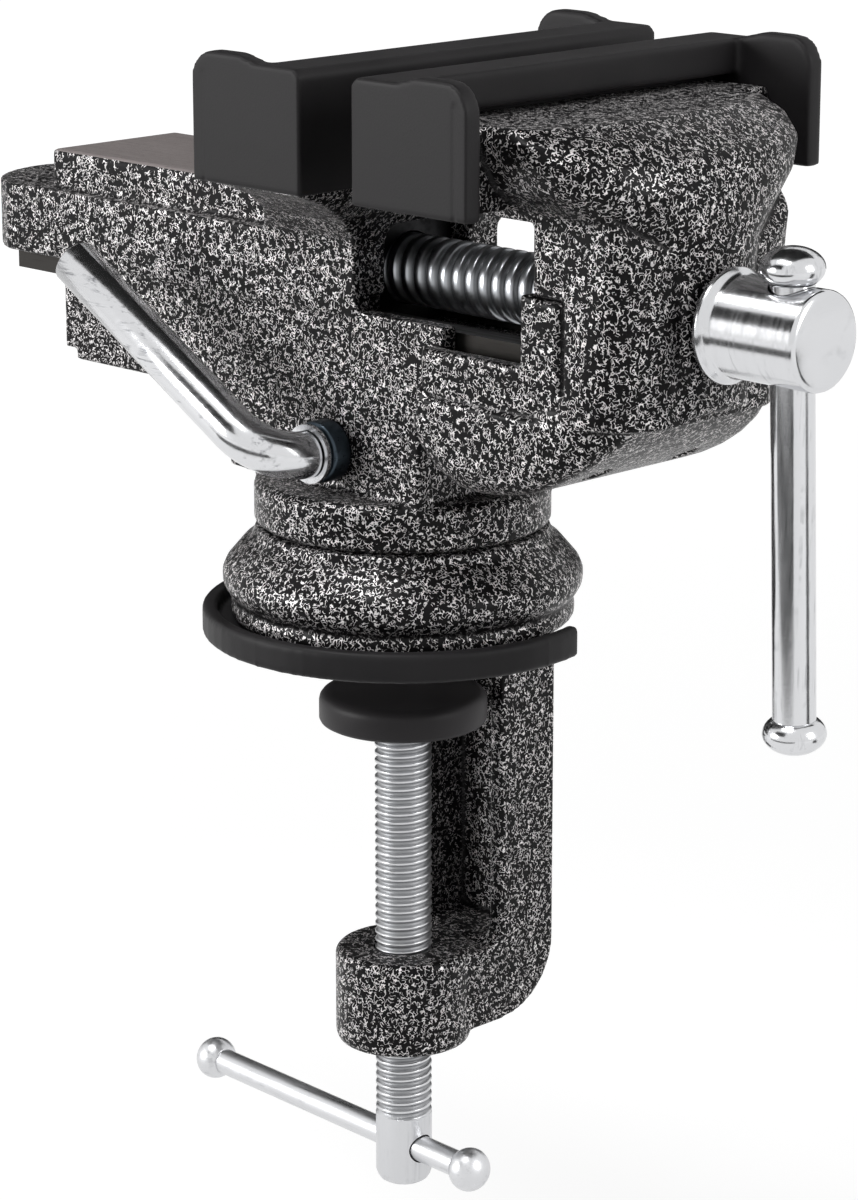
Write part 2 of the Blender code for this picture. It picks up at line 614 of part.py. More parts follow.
def moving_jaw():
    """Moving jaw, window, front wall and the belly with its two cheeks, one casting."""
    half = JAW_WIDTH / 2
    bar = block(MOVING_FACE_X, MOVING_FACE_X + MOVING_JAW_THICK, -half, half, JAW_BOTTOM, JAW_TOP - 1.0 * MM)
    soften(bar, 1.2 * MM, 2, Vector((1, 0, 0)))
    item = mesh_object("moving_jaw", bar, "hammer_paint")

    arm = [(MOVING_FACE_X + 0.5 * MM, JAW_TOP - 1.8 * MM), (MOVING_FACE_X + 0.5 * MM, WINDOW_TOP),
           (WALL_BACK_X, WINDOW_TOP), (WALL_BACK_X, BELLY_TOP), (WALL_FRONT_X - 2.5 * MM, BELLY_TOP),
           (WALL_FRONT_X - 2.5 * MM, SPINDLE_Z + 12.0 * MM), (WALL_FRONT_X - 6.0 * MM, SPINDLE_Z + 17.0 * MM),
           (WALL_FRONT_X - 16.0 * MM, JAW_TOP - 1.8 * MM)]
    arm_shape = plate(arm, "y", -CORE_HALF, CORE_HALF)
    upright = [edge for edge in arm_shape.edges
               if min(vert.co.x for vert in edge.verts) > WALL_FRONT_X - 3.0 * MM
               and abs(edge.verts[0].co.y - edge.verts[1].co.y) < 1e-6]
    bmesh.ops.bevel(arm_shape, geom=upright, offset=10.0 * MM, segments=5, profile=0.5, affect='EDGES')
    join(item, arm_shape)
    join(item, prow())

    cheek = [(CHEEK_REAR + 0.5 * MM, CHEEK_TOP), (CHEEK_REAR + 0.5 * MM, BELLY_TOP - 3.0 * MM),
             (WALL_BACK_X, BELLY_TOP - 3.0 * MM), (WALL_FRONT_X - 12.0 * MM, BELLY_TOP + 1.0 * MM),
             (WALL_FRONT_X - 12.0 * MM, CHEEK_STEP_TOP),
             (CHEEK_STEP_X, CHEEK_STEP_TOP), (CHEEK_STEP_X, CHEEK_TOP)]
    join(item, plate(cheek, "y", -CORE_HALF - 0.01 * MM, CORE_HALF + 0.01 * MM))

    join(item, belly())
    # The window under the jaw is open from side to side
    cut(item, block(MOVING_FACE_X - OVERCUT, WALL_BACK_X, -PROW_HALF - OVERCUT, PROW_HALF + OVERCUT,
                    CHEEK_STEP_TOP + 0.2 * MM, WINDOW_TOP))

    # Room for the base block between the cheeks, open below so that the jaws can close
    inside = BODY_HALF + GAP + 0.1 * MM
    closed_room = BLOCK_FRONT + OPENING + 0.5 * MM
    cut(item, block(CHEEK_REAR - OVERCUT, closed_room, -inside, inside, BELLY_BOTTOM - OVERCUT, WINDOW_TOP - 4 * MM))
    trough = block(closed_room - OVERCUT, CHEEK_STEP_X, -inside, inside, BELLY_BOTTOM + 4.5 * MM,
                   WINDOW_TOP - 4 * MM)
    cut(item, trough)
    # The step behind the front wall, lower than the window
    cut(item, block(CHEEK_STEP_X - OVERCUT, WALL_BACK_X, -inside, inside, SLOT_BOTTOM,
                    WINDOW_TOP - 4 * MM))

    # A narrow groove down each side, between the cheek and the front wall
    for side in (-1, 1):
        groove = block(55.0 * MM, 56.0 * MM, side * CORE_HALF - 1.0 * MM, side * CORE_HALF + 1.0 * MM,
                       52.3 * MM, CHEEK_STEP_TOP)
        cut(item, groove)

    # Bore of the spindle, slot of the slide bar and the holes of its two pins
    bore = rod(SPINDLE_RADIUS + RUNNING, CHEEK_STEP_X - OVERCUT, WALL_FRONT_X + OVERCUT, SMALL_SEGMENTS)
    cut(item, moved(bore, (0, 0, SPINDLE_Z), "x"))
    cut(item, block(WALL_BACK_X - OVERCUT, WALL_BACK_X + BAR_INSERT + GAP, -BAR_HALF - GAP,
                    BAR_HALF + GAP, SLOT_BOTTOM, SLOT_TOP))
    for side in (-1, 1):
        hole = rod(PIN_RADIUS + GAP, BELLY_BOTTOM - OVERCUT, SLOT_TOP + 4.0 * MM, SMALL_SEGMENTS)
        cut(item, moved(hole, pin_place(side)))
    shade(item)
    return item


def pin_place(side):
    """Where a pin goes down through the slide bar; side is -1 or +1."""
    return (WALL_BACK_X + BAR_INSERT / 2, side * (BAR_HALF + BAR_SLOT_HALF) / 2, 0)


def slide_bar():
    """Flat guide bar with a long slot that clears the nut."""
    item = mesh_object("slide_bar", block(BAR_REAR, WALL_BACK_X + BAR_INSERT, -BAR_HALF, BAR_HALF,
                                          BAR_TOP - BAR_THICK, BAR_TOP), "ground_iron")
    slot = block(BAR_REAR + BAR_BRIDGE, WALL_BACK_X, -BAR_SLOT_HALF, BAR_SLOT_HALF,
                 BAR_TOP - BAR_THICK - OVERCUT, BAR_TOP + OVERCUT)
    soften(slot, 3.0 * MM, 3, Vector((0, 0, 1)))
    cut(item, slot)
    for side in (-1, 1):
        hole = rod(PIN_RADIUS + GAP, BAR_TOP - BAR_THICK - OVERCUT, BAR_TOP + OVERCUT, SMALL_SEGMENTS)
        cut(item, moved(hole, pin_place(side)))
    shade(item)
    return item


def slide_bar_pins():
    """Two pins that hold the slide bar in the moving jaw."""
    shape = rod(PIN_RADIUS, SLOT_BOTTOM - 6.0 * MM, SLOT_TOP + 3.6 * MM, 16, 0.4 * MM)
    near = mesh_object("slide_bar_pin_near", shape, "steel_thread")
    far = bpy.data.objects.new("slide_bar_pin_far", near.data)
    bpy.context.collection.objects.link(far)
    near.location = pin_place(-1)
    far.location = pin_place(1)


def spindle():
    """Main screw, turned with its collar and head, with the cross hole of the handle."""
    shank_end = WALL_BACK_X - 5.0 * MM
    root = SPINDLE_RADIUS - 1.0 * MM
    profile = [(0, SPINDLE_TIP_X), (root - 1.0 * MM, SPINDLE_TIP_X), (SPINDLE_RADIUS, SPINDLE_TIP_X + 2 * MM)]
    profile += [(SPINDLE_RADIUS, shank_end - 2.0 * MM), (root, shank_end), (root, COLLAR_X)]
    profile += [(COLLAR_RADIUS - 0.5 * MM, COLLAR_X), (COLLAR_RADIUS, COLLAR_X + 0.5 * MM)]
    profile += [(COLLAR_RADIUS, COLLAR_X + 1.1 * MM), (COLLAR_RADIUS - 0.5 * MM, COLLAR_X + 1.6 * MM)]
    profile += [(HEAD_RADIUS + 0.3 * MM, COLLAR_X + COLLAR_LENGTH - 0.6 * MM)]
    profile += [(HEAD_RADIUS, COLLAR_X + COLLAR_LENGTH), (HEAD_RADIUS, HEAD_END_X - 0.5 * MM)]
    profile += [(HEAD_RADIUS - 0.5 * MM, HEAD_END_X), (0, HEAD_END_X)]
    item = mesh_object("spindle", moved(turned(profile, 40), (0, 0, SPINDLE_Z), "x"), "bright_zinc")
    hole = rod(HANDLE_RADIUS + RUNNING, -2 * HEAD_RADIUS, 2 * HEAD_RADIUS, SMALL_SEGMENTS)
    bmesh.ops.rotate(hole, verts=hole.verts, matrix=Matrix.Rotation(HANDLE_LEAN, 3, 'X'))
    cut(item, moved(hole, (HANDLE_X, 0, SPINDLE_Z)))
    pin_hole = rod(SPINDLE_PIN_RADIUS + GAP, -2 * SPINDLE_RADIUS, 2 * SPINDLE_RADIUS, 16)
    cut(item, moved(pin_hole, (SPINDLE_PIN_X, 0, SPINDLE_Z), "y"))
    shade(item)
    set_origin(item, (WALL_FRONT_X, 0, SPINDLE_Z))
    return item


def spindle_pin():
    """Cross pin that keeps the washer on the spindle."""
    shape = moved(rod(SPINDLE_PIN_RADIUS, -SPINDLE_PIN_HALF, SPINDLE_PIN_HALF, 16, 0.2 * MM), towards="y")
    item = mesh_object("spindle_pin", shape, "steel_thread")
    set_origin(item, (0, 0, 0))
    item.location = (SPINDLE_PIN_X, 0, SPINDLE_Z)
    return item


def spindle_washer():
    """Washer behind the front wall, on the reduced shank."""
    root = SPINDLE_RADIUS - 1.0 * MM + GAP
    back = WALL_BACK_X - GAP - WASHER_THICK
    profile = [(root, back), (SPINDLE_RADIUS + 1.6 * MM, back), (SPINDLE_RADIUS + 1.6 * MM, WALL_BACK_X - GAP),
               (root, WALL_BACK_X - GAP)]
    return mesh_object("spindle_washer", moved(turned(profile, 32), (0, 0, SPINDLE_Z), "x"), "brass")


def spindle_nut():
    """Nut block in the body, wide above the slide bar and narrow between its rails."""
    upper = block(NUT_REAR_X, NUT_FRONT_X, -NUT_HALF, NUT_HALF, SLOT_TOP + GAP, NUT_TOP)
    soften(upper, 0.8 * MM, 2, Vector((1, 0, 0)))
    item = mesh_object("spindle_nut", upper, "black_steel")
    join(item, block(NUT_REAR_X + 0.4 * MM, NUT_FRONT_X - 0.4 * MM, -NUT_FOOT_HALF, NUT_FOOT_HALF,
                     SLOT_BOTTOM + GAP, SLOT_TOP + 2.0 * MM))
    bore = rod(SPINDLE_RADIUS + RUNNING, NUT_REAR_X - OVERCUT, NUT_FRONT_X + OVERCUT, SMALL_SEGMENTS)
    cut(item, moved(bore, (0, 0, SPINDLE_Z), "x"))
    nut_middle = (NUT_FRONT_X + NUT_REAR_X) / 2
    hole = rod(NUT_SCREW_RADIUS + GAP, SLOT_BOTTOM - OVERCUT, SLOT_BOTTOM + 1.8 * MM, SMALL_SEGMENTS)
    cut(item, moved(hole, (nut_middle, 0, 0)))
    shade(item)
    return item


def nut_screw():
    """Screw that goes up through the body into the nut."""
    under = SOCKET_TOP + 4.0 * MM - GAP
    low = SOCKET_TOP + 0.6 * MM
    wide = 2 * NUT_SCREW_RADIUS
    profile = [(0, low), (wide - 0.4 * MM, low), (wide, low + 0.4 * MM), (wide, under),
               (NUT_SCREW_RADIUS, under), (NUT_SCREW_RADIUS, SLOT_BOTTOM + 1.5 * MM), (0, SLOT_BOTTOM + 1.5 * MM)]
    nut_middle = (NUT_FRONT_X + NUT_REAR_X) / 2
    return mesh_object("nut_screw", moved(turned(profile, 24), (nut_middle, 0, 0)), "steel_thread")


def knob_profile(radius, height, bore):
    """A flattened ball on a short neck, with a blind bore from below."""
    neck = bore + KNOB_NECK_WALL
    start = -math.acos(neck / radius)
    depth = 0.55 * height
    profile = [(bore, 0), (neck, 0)]
    for step in range(9):
        angle = start + (math.pi / 2 - start) * step / 8
        profile.append((radius * math.cos(angle), height / 2 * (1 + math.sin(angle))))
    profile += [(0, depth), (bore, depth)]
    return profile


def knob(name, radius, height, rod_radius, place, direction):
    """Pressed-on end knob; direction points away from the rod."""
    profile = knob_profile(radius, height, rod_radius + GAP / 2)
    shape = turned(profile, 22)
    turn = Vector((0, 0, 1)).rotation_difference(Vector(direction)).to_matrix().to_4x4()
    bmesh.ops.transform(shape, matrix=Matrix.Translation(place) @ turn, verts=shape.verts)
    return mesh_object(name, shape, "bright_zinc", 60.0)


def spindle_handle():
    """Handle rod through the spindle head, hanging on its upper knob."""
    knob_base = SPINDLE_Z + HEAD_RADIUS + GAP
    seat = 0.5 * KNOB_HEIGHT
    low = knob_base - HANDLE_LENGTH
    shape = rod(HANDLE_RADIUS, low - seat, knob_base + seat, 32, 0.4 * MM)
    item = mesh_object("spindle_handle", moved(shape, (HANDLE_X, 0, 0)), "bright_zinc")
    upper = knob("spindle_handle_knob_upper", KNOB_RADIUS, KNOB_HEIGHT, HANDLE_RADIUS,
                 (HANDLE_X, 0, knob_base), (0, 0, 1))
    lower = knob("spindle_handle_knob_lower", KNOB_RADIUS, KNOB_HEIGHT, HANDLE_RADIUS,
                 (HANDLE_X, 0, low), (0, 0, -1))
    centre = (HANDLE_X, 0, SPINDLE_Z)
    for piece in (item, upper, lower):
        set_origin(piece, centre)
        piece.rotation_euler = (HANDLE_LEAN, 0, 0)


def lock_screw():
    """Dark hub with the threaded stud that enters the body."""
    outer = LOCK_HUB_Y - LOCK_HUB_LENGTH
    profile = [(0, outer), (LOCK_HUB_RADIUS - 0.4 * MM, outer), (LOCK_HUB_RADIUS, outer + 0.4 * MM),
               (LOCK_HUB_RADIUS, LOCK_HUB_Y), (LOCK_STUD_RADIUS, LOCK_HUB_Y),
               (LOCK_STUD_RADIUS, LOCK_TIP_Y), (0, LOCK_TIP_Y)]
    return mesh_object("lock_screw", moved(turned(profile, 32), (0, 0, LOCK_Z), "y"), "black_steel")


def lock_ring():
    """Bright shoulder ring between hub and lever."""
    profile = [(0, 0), (LOCK_RING_RADIUS - 0.5 * MM, 0), (LOCK_RING_RADIUS, 0.5 * MM),
               (LOCK_RING_RADIUS, LOCK_RING_LENGTH), (0, LOCK_RING_LENGTH)]
    place = (0, RING_Y - LOCK_RING_LENGTH, LOCK_Z)
    return mesh_object("lock_ring", moved(turned(profile, 32), place, "y"), "bright_zinc")


def lock_lever():
    """Bent round lever that tightens the lock screw."""
    out = Vector((0, -1, 0))
    along = Vector((-math.cos(LEVER_ANGLE), 0, math.sin(LEVER_ANGLE)))
    start = Vector((0, LEVER_Y, LOCK_Z))
    centre = start + along * LEVER_BEND
    path = [(start, out)]
    for step in range(1, 9):
        angle = math.pi / 2 * step / 8
        point = centre + out * LEVER_BEND * math.sin(angle) - along * LEVER_BEND * math.cos(angle)
        path.append((point, out * math.cos(angle) + along * math.sin(angle)))
    last = path[-1][0]
    path.append((last + along * LEVER_LENGTH, along))
    side = out.cross(along)
    sections = []
    for radius_step, (point, tangent) in enumerate(path):
        across = side.cross(tangent).normalized()
        ring = []
        for step in range(24):
            angle = 2 * math.pi * step / 24
            ring.append(point + (side * math.cos(angle) + across * math.sin(angle)) * LEVER_RADIUS)
        sections.append(ring)
    shape = loft(sections)
    item = mesh_object("lock_lever", shape, "bright_zinc", 50.0)
    set_origin(item, (0, LEVER_Y, LOCK_Z))
    return item


def lock_shoe():
    """Brass shoe that the lock screw pushes into the groove of the spigot."""
    low = -SPIGOT_RADIUS - GAP - SHOE_LENGTH
    profile = [(0, low), (SHOE_RADIUS, low), (SHOE_RADIUS, low + SHOE_LENGTH - 1.0 * MM),
               (SHOE_RADIUS - 1.0 * MM, low + SHOE_LENGTH), (0, low + SHOE_LENGTH)]
    return mesh_object("lock_shoe", moved(turned(profile, 24), (0, 0, LOCK_Z), "y"), "brass")


def clamp_screw():
    """Clamp screw with a ball end above and a cross hole below."""
    ball_top = CAP_TOP - CAP_WALL - GAP - 0.6 * MM
    neck = SCREW_RADIUS - 1.6 * MM
    foot_low = CAP_TOP - CAP_WALL - GAP - FOOT_HEIGHT
    profile = [(0, SCREW_END), (SCREW_RADIUS - 2.2 * MM, SCREW_END), (SCREW_RADIUS - 0.7 * MM, SCREW_END + 0.7 * MM),
               (SCREW_RADIUS, SCREW_END + 2.2 * MM), (SCREW_RADIUS, foot_low - 2.4 * MM),
               (neck, foot_low - 1.4 * MM), (neck, ball_top - 0.8 * MM), (neck - 0.8 * MM, ball_top), (0, ball_top)]
    item = mesh_object("clamp_screw", turned(profile, 40), "bright_zinc")
    hole = moved(rod(TBAR_RADIUS + RUNNING, -2 * SCREW_RADIUS, 2 * SCREW_RADIUS, 24), (0, 0, BAR_Z), "x")
    bmesh.ops.rotate(hole, verts=hole.verts, matrix=Matrix.Rotation(TBAR_TURN, 3, 'Z'))
    cut(item, hole)
    shade(item)
    return item


def clamp_foot():
    """Steel foot that swivels on the end of the clamp screw."""
    top = CAP_TOP - CAP_WALL - GAP
    low = top - FOOT_HEIGHT
    bore = SCREW_RADIUS - 1.6 * MM + GAP
    roof = CAP_TOP - CAP_WALL - GAP - 0.6 * MM + GAP
    profile = [(bore, low), (FOOT_RADIUS - 0.6 * MM, low), (FOOT_RADIUS, low + 0.6 * MM), (FOOT_RADIUS, top),
               (0, top), (0, roof), (bore, roof)]
    return mesh_object("clamp_foot", turned(profile, 40), "steel_thread")


def clamp_foot_cap():
    """Soft cap pushed over the foot."""
    low = CAP_TOP - CAP_HEIGHT
    inner = FOOT_RADIUS + GAP
    roof = CAP_TOP - CAP_WALL
    profile = [(inner, low + 0.4 * MM), (inner, low), (CAP_RADIUS - 0.8 * MM, low), (CAP_RADIUS, low + 0.8 * MM)]
    profile += arc((CAP_RADIUS - 1.6 * MM, CAP_TOP - 1.6 * MM), 1.6 * MM, 0, 80, 5)
    profile += [(CAP_RADIUS - 1.6 * MM, CAP_TOP), (0, CAP_TOP), (0, roof), (inner, roof)]
    return mesh_object("clamp_foot_cap", turned(profile, 40), "rubber")


def clamp_bar():
    """Cross bar of the clamp screw with its two end knobs."""
    seat = 0.5 * TBAR_KNOB_HEIGHT
    shape = rod(TBAR_RADIUS, TBAR_LEFT - seat, TBAR_RIGHT + seat, 24, 0.3 * MM)
    item = mesh_object("clamp_bar", moved(shape, (0, 0, BAR_Z), "x"), "bright_zinc")
    left = knob("clamp_bar_knob_long", TBAR_KNOB_RADIUS, TBAR_KNOB_HEIGHT, TBAR_RADIUS,
                (TBAR_LEFT, 0, BAR_Z), (-1, 0, 0))
    right = knob("clamp_bar_knob_short", TBAR_KNOB_RADIUS, TBAR_KNOB_HEIGHT, TBAR_RADIUS,
                 (TBAR_RIGHT, 0, BAR_Z), (1, 0, 0))
    centre = (0, 0, BAR_Z)
    for piece in (item, left, right):
        set_origin(piece, centre)
        piece.rotation_euler = (0, 0, TBAR_TURN)


clear_scene()
clamp_frame()
bench_pad()
swivel_body()
jaw_cover("fixed_jaw_cover", FIXED_FACE_X, -1)
moving_jaw()
jaw_cover("moving_jaw_cover", MOVING_FACE_X, 1)
slide_bar()
slide_bar_pins()
spindle()
spindle_pin()
spindle_washer()
spindle_nut()
nut_screw()
spindle_handle()
lock_screw()
lock_ring()
lock_lever()
lock_shoe()
clamp_screw()
clamp_foot()
clamp_foot_cap()
clamp_bar()
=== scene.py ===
# %% [markdown]
# # A clamp-on vise, dressed for its portrait
#
# The object is a small cast vise that clamps under the edge of a bench.  Its solids are loaded
# first, as a frame that is never moved.  Each cell then makes one piece or one finish, much as a
# maker would, and lets it ride on the body that moves it.
# Lengths are in metres, X is the way the jaws open and Z is up.

# %% Load the frame
import math

import bpy
import numpy as np
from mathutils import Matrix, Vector


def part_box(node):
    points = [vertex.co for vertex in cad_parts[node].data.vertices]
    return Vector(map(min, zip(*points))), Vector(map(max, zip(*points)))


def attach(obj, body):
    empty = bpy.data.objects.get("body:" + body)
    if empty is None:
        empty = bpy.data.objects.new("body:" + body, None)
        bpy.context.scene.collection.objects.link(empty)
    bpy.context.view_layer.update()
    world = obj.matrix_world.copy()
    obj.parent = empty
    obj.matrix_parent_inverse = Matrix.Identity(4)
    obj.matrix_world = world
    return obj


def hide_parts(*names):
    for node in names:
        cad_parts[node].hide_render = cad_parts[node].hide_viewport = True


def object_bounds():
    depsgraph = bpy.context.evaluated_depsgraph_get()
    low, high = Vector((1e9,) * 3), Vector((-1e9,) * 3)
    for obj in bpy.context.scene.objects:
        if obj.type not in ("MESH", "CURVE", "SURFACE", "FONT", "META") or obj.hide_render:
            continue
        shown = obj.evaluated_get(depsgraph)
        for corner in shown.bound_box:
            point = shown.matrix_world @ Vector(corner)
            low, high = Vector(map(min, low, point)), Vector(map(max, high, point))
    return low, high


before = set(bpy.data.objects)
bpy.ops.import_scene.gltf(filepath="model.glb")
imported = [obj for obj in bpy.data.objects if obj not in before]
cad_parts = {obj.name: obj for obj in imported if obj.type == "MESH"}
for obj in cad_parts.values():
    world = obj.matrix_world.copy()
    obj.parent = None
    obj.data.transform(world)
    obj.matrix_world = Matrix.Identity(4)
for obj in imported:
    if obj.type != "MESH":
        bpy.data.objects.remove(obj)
solid_box = [list(corner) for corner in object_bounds()]
MM = 0.001


def in_mm(box):
    return [[round(value / MM, 1) for value in corner] for corner in box]


print("solid box in mm:", in_mm(solid_box))

# %% [markdown]
# ## Working by hand, in code
#
# A tool in Blender acts on everything that is selected, so the first helper picks one object and
# nothing else.  A modifier could stay live, but a finished piece is plain mesh: its modifiers are
# applied.  Its place goes into the mesh as well.  The piece then sits at the origin, unturned,
# and its pattern can't slide when the vise moves.

# %% Helpers for picking, applying and placing
def pick(item):
    bpy.ops.object.select_all(action='DESELECT')
    item.select_set(True)
    bpy.context.view_layer.objects.active = item


def apply_modifiers(item):
    pick(item)
    for modifier in list(item.modifiers):
        bpy.ops.object.modifier_apply(modifier=modifier.name)


def put(item, place, direction):
    """Turns a piece from Z to a direction, moves it, and makes that its rest."""
    item.rotation_mode = 'QUATERNION'
    item.rotation_quaternion = Vector((0, 0, 1)).rotation_difference(Vector(direction))
    item.location = place
    pick(item)
    bpy.ops.object.transform_apply(location=True, rotation=True, scale=True)


# %% Helpers for the mesh and the hand-over
def tidy_mesh(item, distance=0.002 * MM):
    """Merges points that coincide and makes all faces look outwards."""
    pick(item)
    bpy.ops.object.mode_set(mode='EDIT')
    bpy.ops.mesh.select_all(action='SELECT')
    bpy.ops.mesh.remove_doubles(threshold=distance)
    bpy.ops.mesh.normals_make_consistent(inside=False)
    bpy.ops.object.mode_set(mode='OBJECT')


def smooth_shading(item, angle=35):
    """Smooth, except across edges that are sharper than the angle, in degrees."""
    pick(item)
    bpy.ops.object.shade_smooth_by_angle(angle=math.radians(angle))


def dress(item, material, body, slot, *nodes):
    """Gives a piece its finish and its body, and hides the solids it stands for."""
    item.data.materials.clear()
    item.data.materials.append(material)
    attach(item, body)
    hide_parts(*nodes)
    print(item.name, "has", len(item.data.polygons), "faces and rides on", body)


# %% [markdown]
# ## Finishes as small node trees
#
# A finish could be a photo that is wrapped round the piece, but it would need a layout and a file.
# Here every finish is grown from noise.  It starts from a Principled shader and reads Object
# coordinates, in metres, so a noise of scale 1000 has features about one millimetre across.

# %% Helpers for nodes and wires
def new_finish(name, colour, roughness, metallic):
    material = bpy.data.materials.new(name)
    material.use_nodes = True
    material.diffuse_color = (*colour, 1)
    shader = material.node_tree.nodes["Principled BSDF"]
    shader.inputs["Base Color"].default_value = (*colour, 1)
    shader.inputs["Roughness"].default_value = roughness
    shader.inputs["Metallic"].default_value = metallic
    return material, shader


def add_node(material, kind, settings=None, **sockets):
    node = material.node_tree.nodes.new(kind)
    for name, value in (settings or {}).items():
        setattr(node, name, value)
    for name, value in sockets.items():
        node.inputs[name.replace("_", " ")].default_value = value
    return node


def wire(material, out_socket, in_socket):
    material.node_tree.links.new(out_socket, in_socket)


def object_places(material, stretch=(1, 1, 1), turn=(0, 0, 0)):
    """Object coordinates, stretched and turned for one pattern."""
    source = add_node(material, 'ShaderNodeTexCoord')
    mapping = add_node(material, 'ShaderNodeMapping', Scale=stretch, Rotation=turn)
    wire(material, source.outputs["Object"], mapping.inputs["Vector"])
    return mapping.outputs["Vector"]


# %% Helpers for patterns
def noise(material, places, scale, detail=2.0, roughness=0.5, distortion=0.0):
    node = add_node(material, 'ShaderNodeTexNoise', Scale=scale, Detail=detail,
                    Roughness=roughness, Distortion=distortion)
    wire(material, places, node.inputs["Vector"])
    return node.outputs["Fac"]


def level(material, value, low, high, out_low=0.0, out_high=1.0):
    """Stretches a value between two marks, and stops at both."""
    node = add_node(material, 'ShaderNodeMapRange', From_Min=low, From_Max=high,
                    To_Min=out_low, To_Max=out_high)
    wire(material, value, node.inputs["Value"])
    return node.outputs["Result"]


def sums(material, operation, first, second=None):
    node = add_node(material, 'ShaderNodeMath', {"operation": operation})
    for socket, value in zip(node.inputs, (first, second)):
        if value is None:
            continue
        if isinstance(value, (int, float)):
            socket.default_value = value
        else:
            wire(material, value, socket)
    return node.outputs[0]


def vectors(material, operation, first, second=None):
    """The same for vectors, where the second one is fixed."""
    node = add_node(material, 'ShaderNodeVectorMath', {"operation": operation})
    wire(material, first, node.inputs[0])
    if second is not None:
        node.inputs[1].default_value = second
    return node.outputs["Value" if operation == 'LENGTH' else "Vector"]


# %% Helpers for colours and bumps
def blend_colours(material, share, first, second):
    node = add_node(material, 'ShaderNodeMix', {"data_type": 'RGBA'})
    share_socket, first_socket, second_socket = node.inputs[0], node.inputs[6], node.inputs[7]
    wire(material, share, share_socket)
    for socket, value in ((first_socket, first), (second_socket, second)):
        if isinstance(value, tuple):
            socket.default_value = (*value, 1)
        else:
            wire(material, value, socket)
    return node.outputs[2]


def bumps(material, shader, height, strength, distance):
    node = add_node(material, 'ShaderNodeBump', Strength=strength, Distance=distance)
    wire(material, height, node.inputs["Height"])
    wire(material, node.outputs["Normal"], shader.inputs["Normal"])


# %% [markdown]
# ## Hammered paint
#
# The castings are black, with silver worms about 0.3 mm wide.  A distorted noise crosses its
# middle value along winding lines, so a narrow band round that value draws worms.  A second
# noise breaks them into short pieces, and a third makes clouds where they are paler.
# In tight inner corners the silver is taken out, as painted shade.  No noise knows where a corner
# is, so each casting stores it for its points, in an attribute that is made further down.

# %% Where the silver lies
WORM_SCALE = 1700
BREAK_SCALE = 1200
CLOUD_SCALE = 480
CREASE = "crease"


def silver_worms(material, places):
    """1 on a worm and 0 beside it."""
    winding = noise(material, places, WORM_SCALE, detail=0.3, roughness=0.5, distortion=0.5)
    off_middle = sums(material, 'ABSOLUTE', sums(material, 'SUBTRACT', winding, 0.5))
    line = level(material, off_middle, 0.046, 0.060, 1.0, 0.0)
    breaks = level(material, noise(material, places, BREAK_SCALE, detail=0.0), 0.425, 0.475)
    return sums(material, 'MULTIPLY', line, breaks)


def thinned(material, places, silver):
    """The worms, paler in clouds and nearly gone in creases, as painted shade."""
    clouds = level(material, noise(material, places, CLOUD_SCALE, 2.0), 0.35, 0.65, 0.65, 1.0)
    hollow = add_node(material, 'ShaderNodeAttribute', {"attribute_name": CREASE}).outputs["Fac"]
    # Painted shade: the silver drops to 0.06 where the surface is hollow.
    painted_crease_shade = level(material, hollow, 0.2, 0.8, 1.0, 0.06)
    return sums(material, 'MULTIPLY', sums(material, 'MULTIPLY', silver, clouds), painted_crease_shade)


# %% Hammered paint
PAINT_BLACK = (0.0062, 0.0058, 0.0062)
PAINT_SILVER = (0.95, 0.92, 0.92)
PEEL_SCALE = 420


def hammered_paint(name, bare_top=False):
    material, shader = new_finish(name, (0.08, 0.08, 0.08), 0.35, 0.2)
    places = object_places(material)
    silver = silver_worms(material, places)
    shade = thinned(material, places, silver)
    fleck = blend_colours(material, shade, PAINT_BLACK, PAINT_SILVER)
    wire(material, fleck, shader.inputs["Base Color"])
    wire(material, level(material, shade, 0, 1, 0.05, 0.55), shader.inputs["Metallic"])
    wire(material, level(material, silver, 0, 1, 0.34, 0.42), shader.inputs["Roughness"])
    shader.inputs["Specular IOR Level"].default_value = 0.11
    orange_peel = noise(material, places, PEEL_SCALE, 1.0)
    height = sums(material, 'ADD', orange_peel, sums(material, 'MULTIPLY', silver, 0.35))
    bumps(material, shader, height, 0.5, 0.18 * MM)
    if bare_top:
        bare_the_top(material, shader, fleck, places)
    return material


# %% [markdown]
# The face of the anvil is ground iron.  It could be a piece of its own, but it is the same casting
# without its paint.  So the finish looks where a point lies, and leaves the paint off up there.

# %% Bare iron on the anvil
ANVIL_ABOVE = 76.45 * MM
ANVIL_BEHIND = -6.0 * MM
GROUND_ACROSS = (40, 900, 300)


def bare_the_top(material, shader, fleck, places):
    """Ground iron without paint where the anvil face lies."""
    split = add_node(material, 'ShaderNodeSeparateXYZ')
    wire(material, places, split.inputs[0])
    high = sums(material, 'GREATER_THAN', split.outputs["Z"], ANVIL_ABOVE)
    behind = sums(material, 'LESS_THAN', split.outputs["X"], ANVIL_BEHIND)
    bare = sums(material, 'MULTIPLY', high, behind)
    ground = noise(material, object_places(material, GROUND_ACROSS), 1, 3.0, 0.6)
    iron = blend_colours(material, level(material, ground, 0.3, 0.7),
                         (0.25, 0.222, 0.218), (0.32, 0.285, 0.28))
    wire(material, blend_colours(material, bare, fleck, iron), shader.inputs["Base Color"])


paint = hammered_paint("hammered paint")
paint_bare = hammered_paint("hammered paint, bare anvil", True)
print("paint finishes:", paint.name, "and", paint_bare.name)

# %% [markdown]
# ## Rubber
#
# The jaw covers, the bench pad and the foot cap are soft, matt and nearly black.  One flat colour
# would look like a hole in the picture.  So a broad noise changes the sheen a little, and a fine
# one gives the skin that comes from the mould.

# %% Rubber
SHEEN_SCALE = 60
SKIN_SCALE = 2600
MATT = 0.5


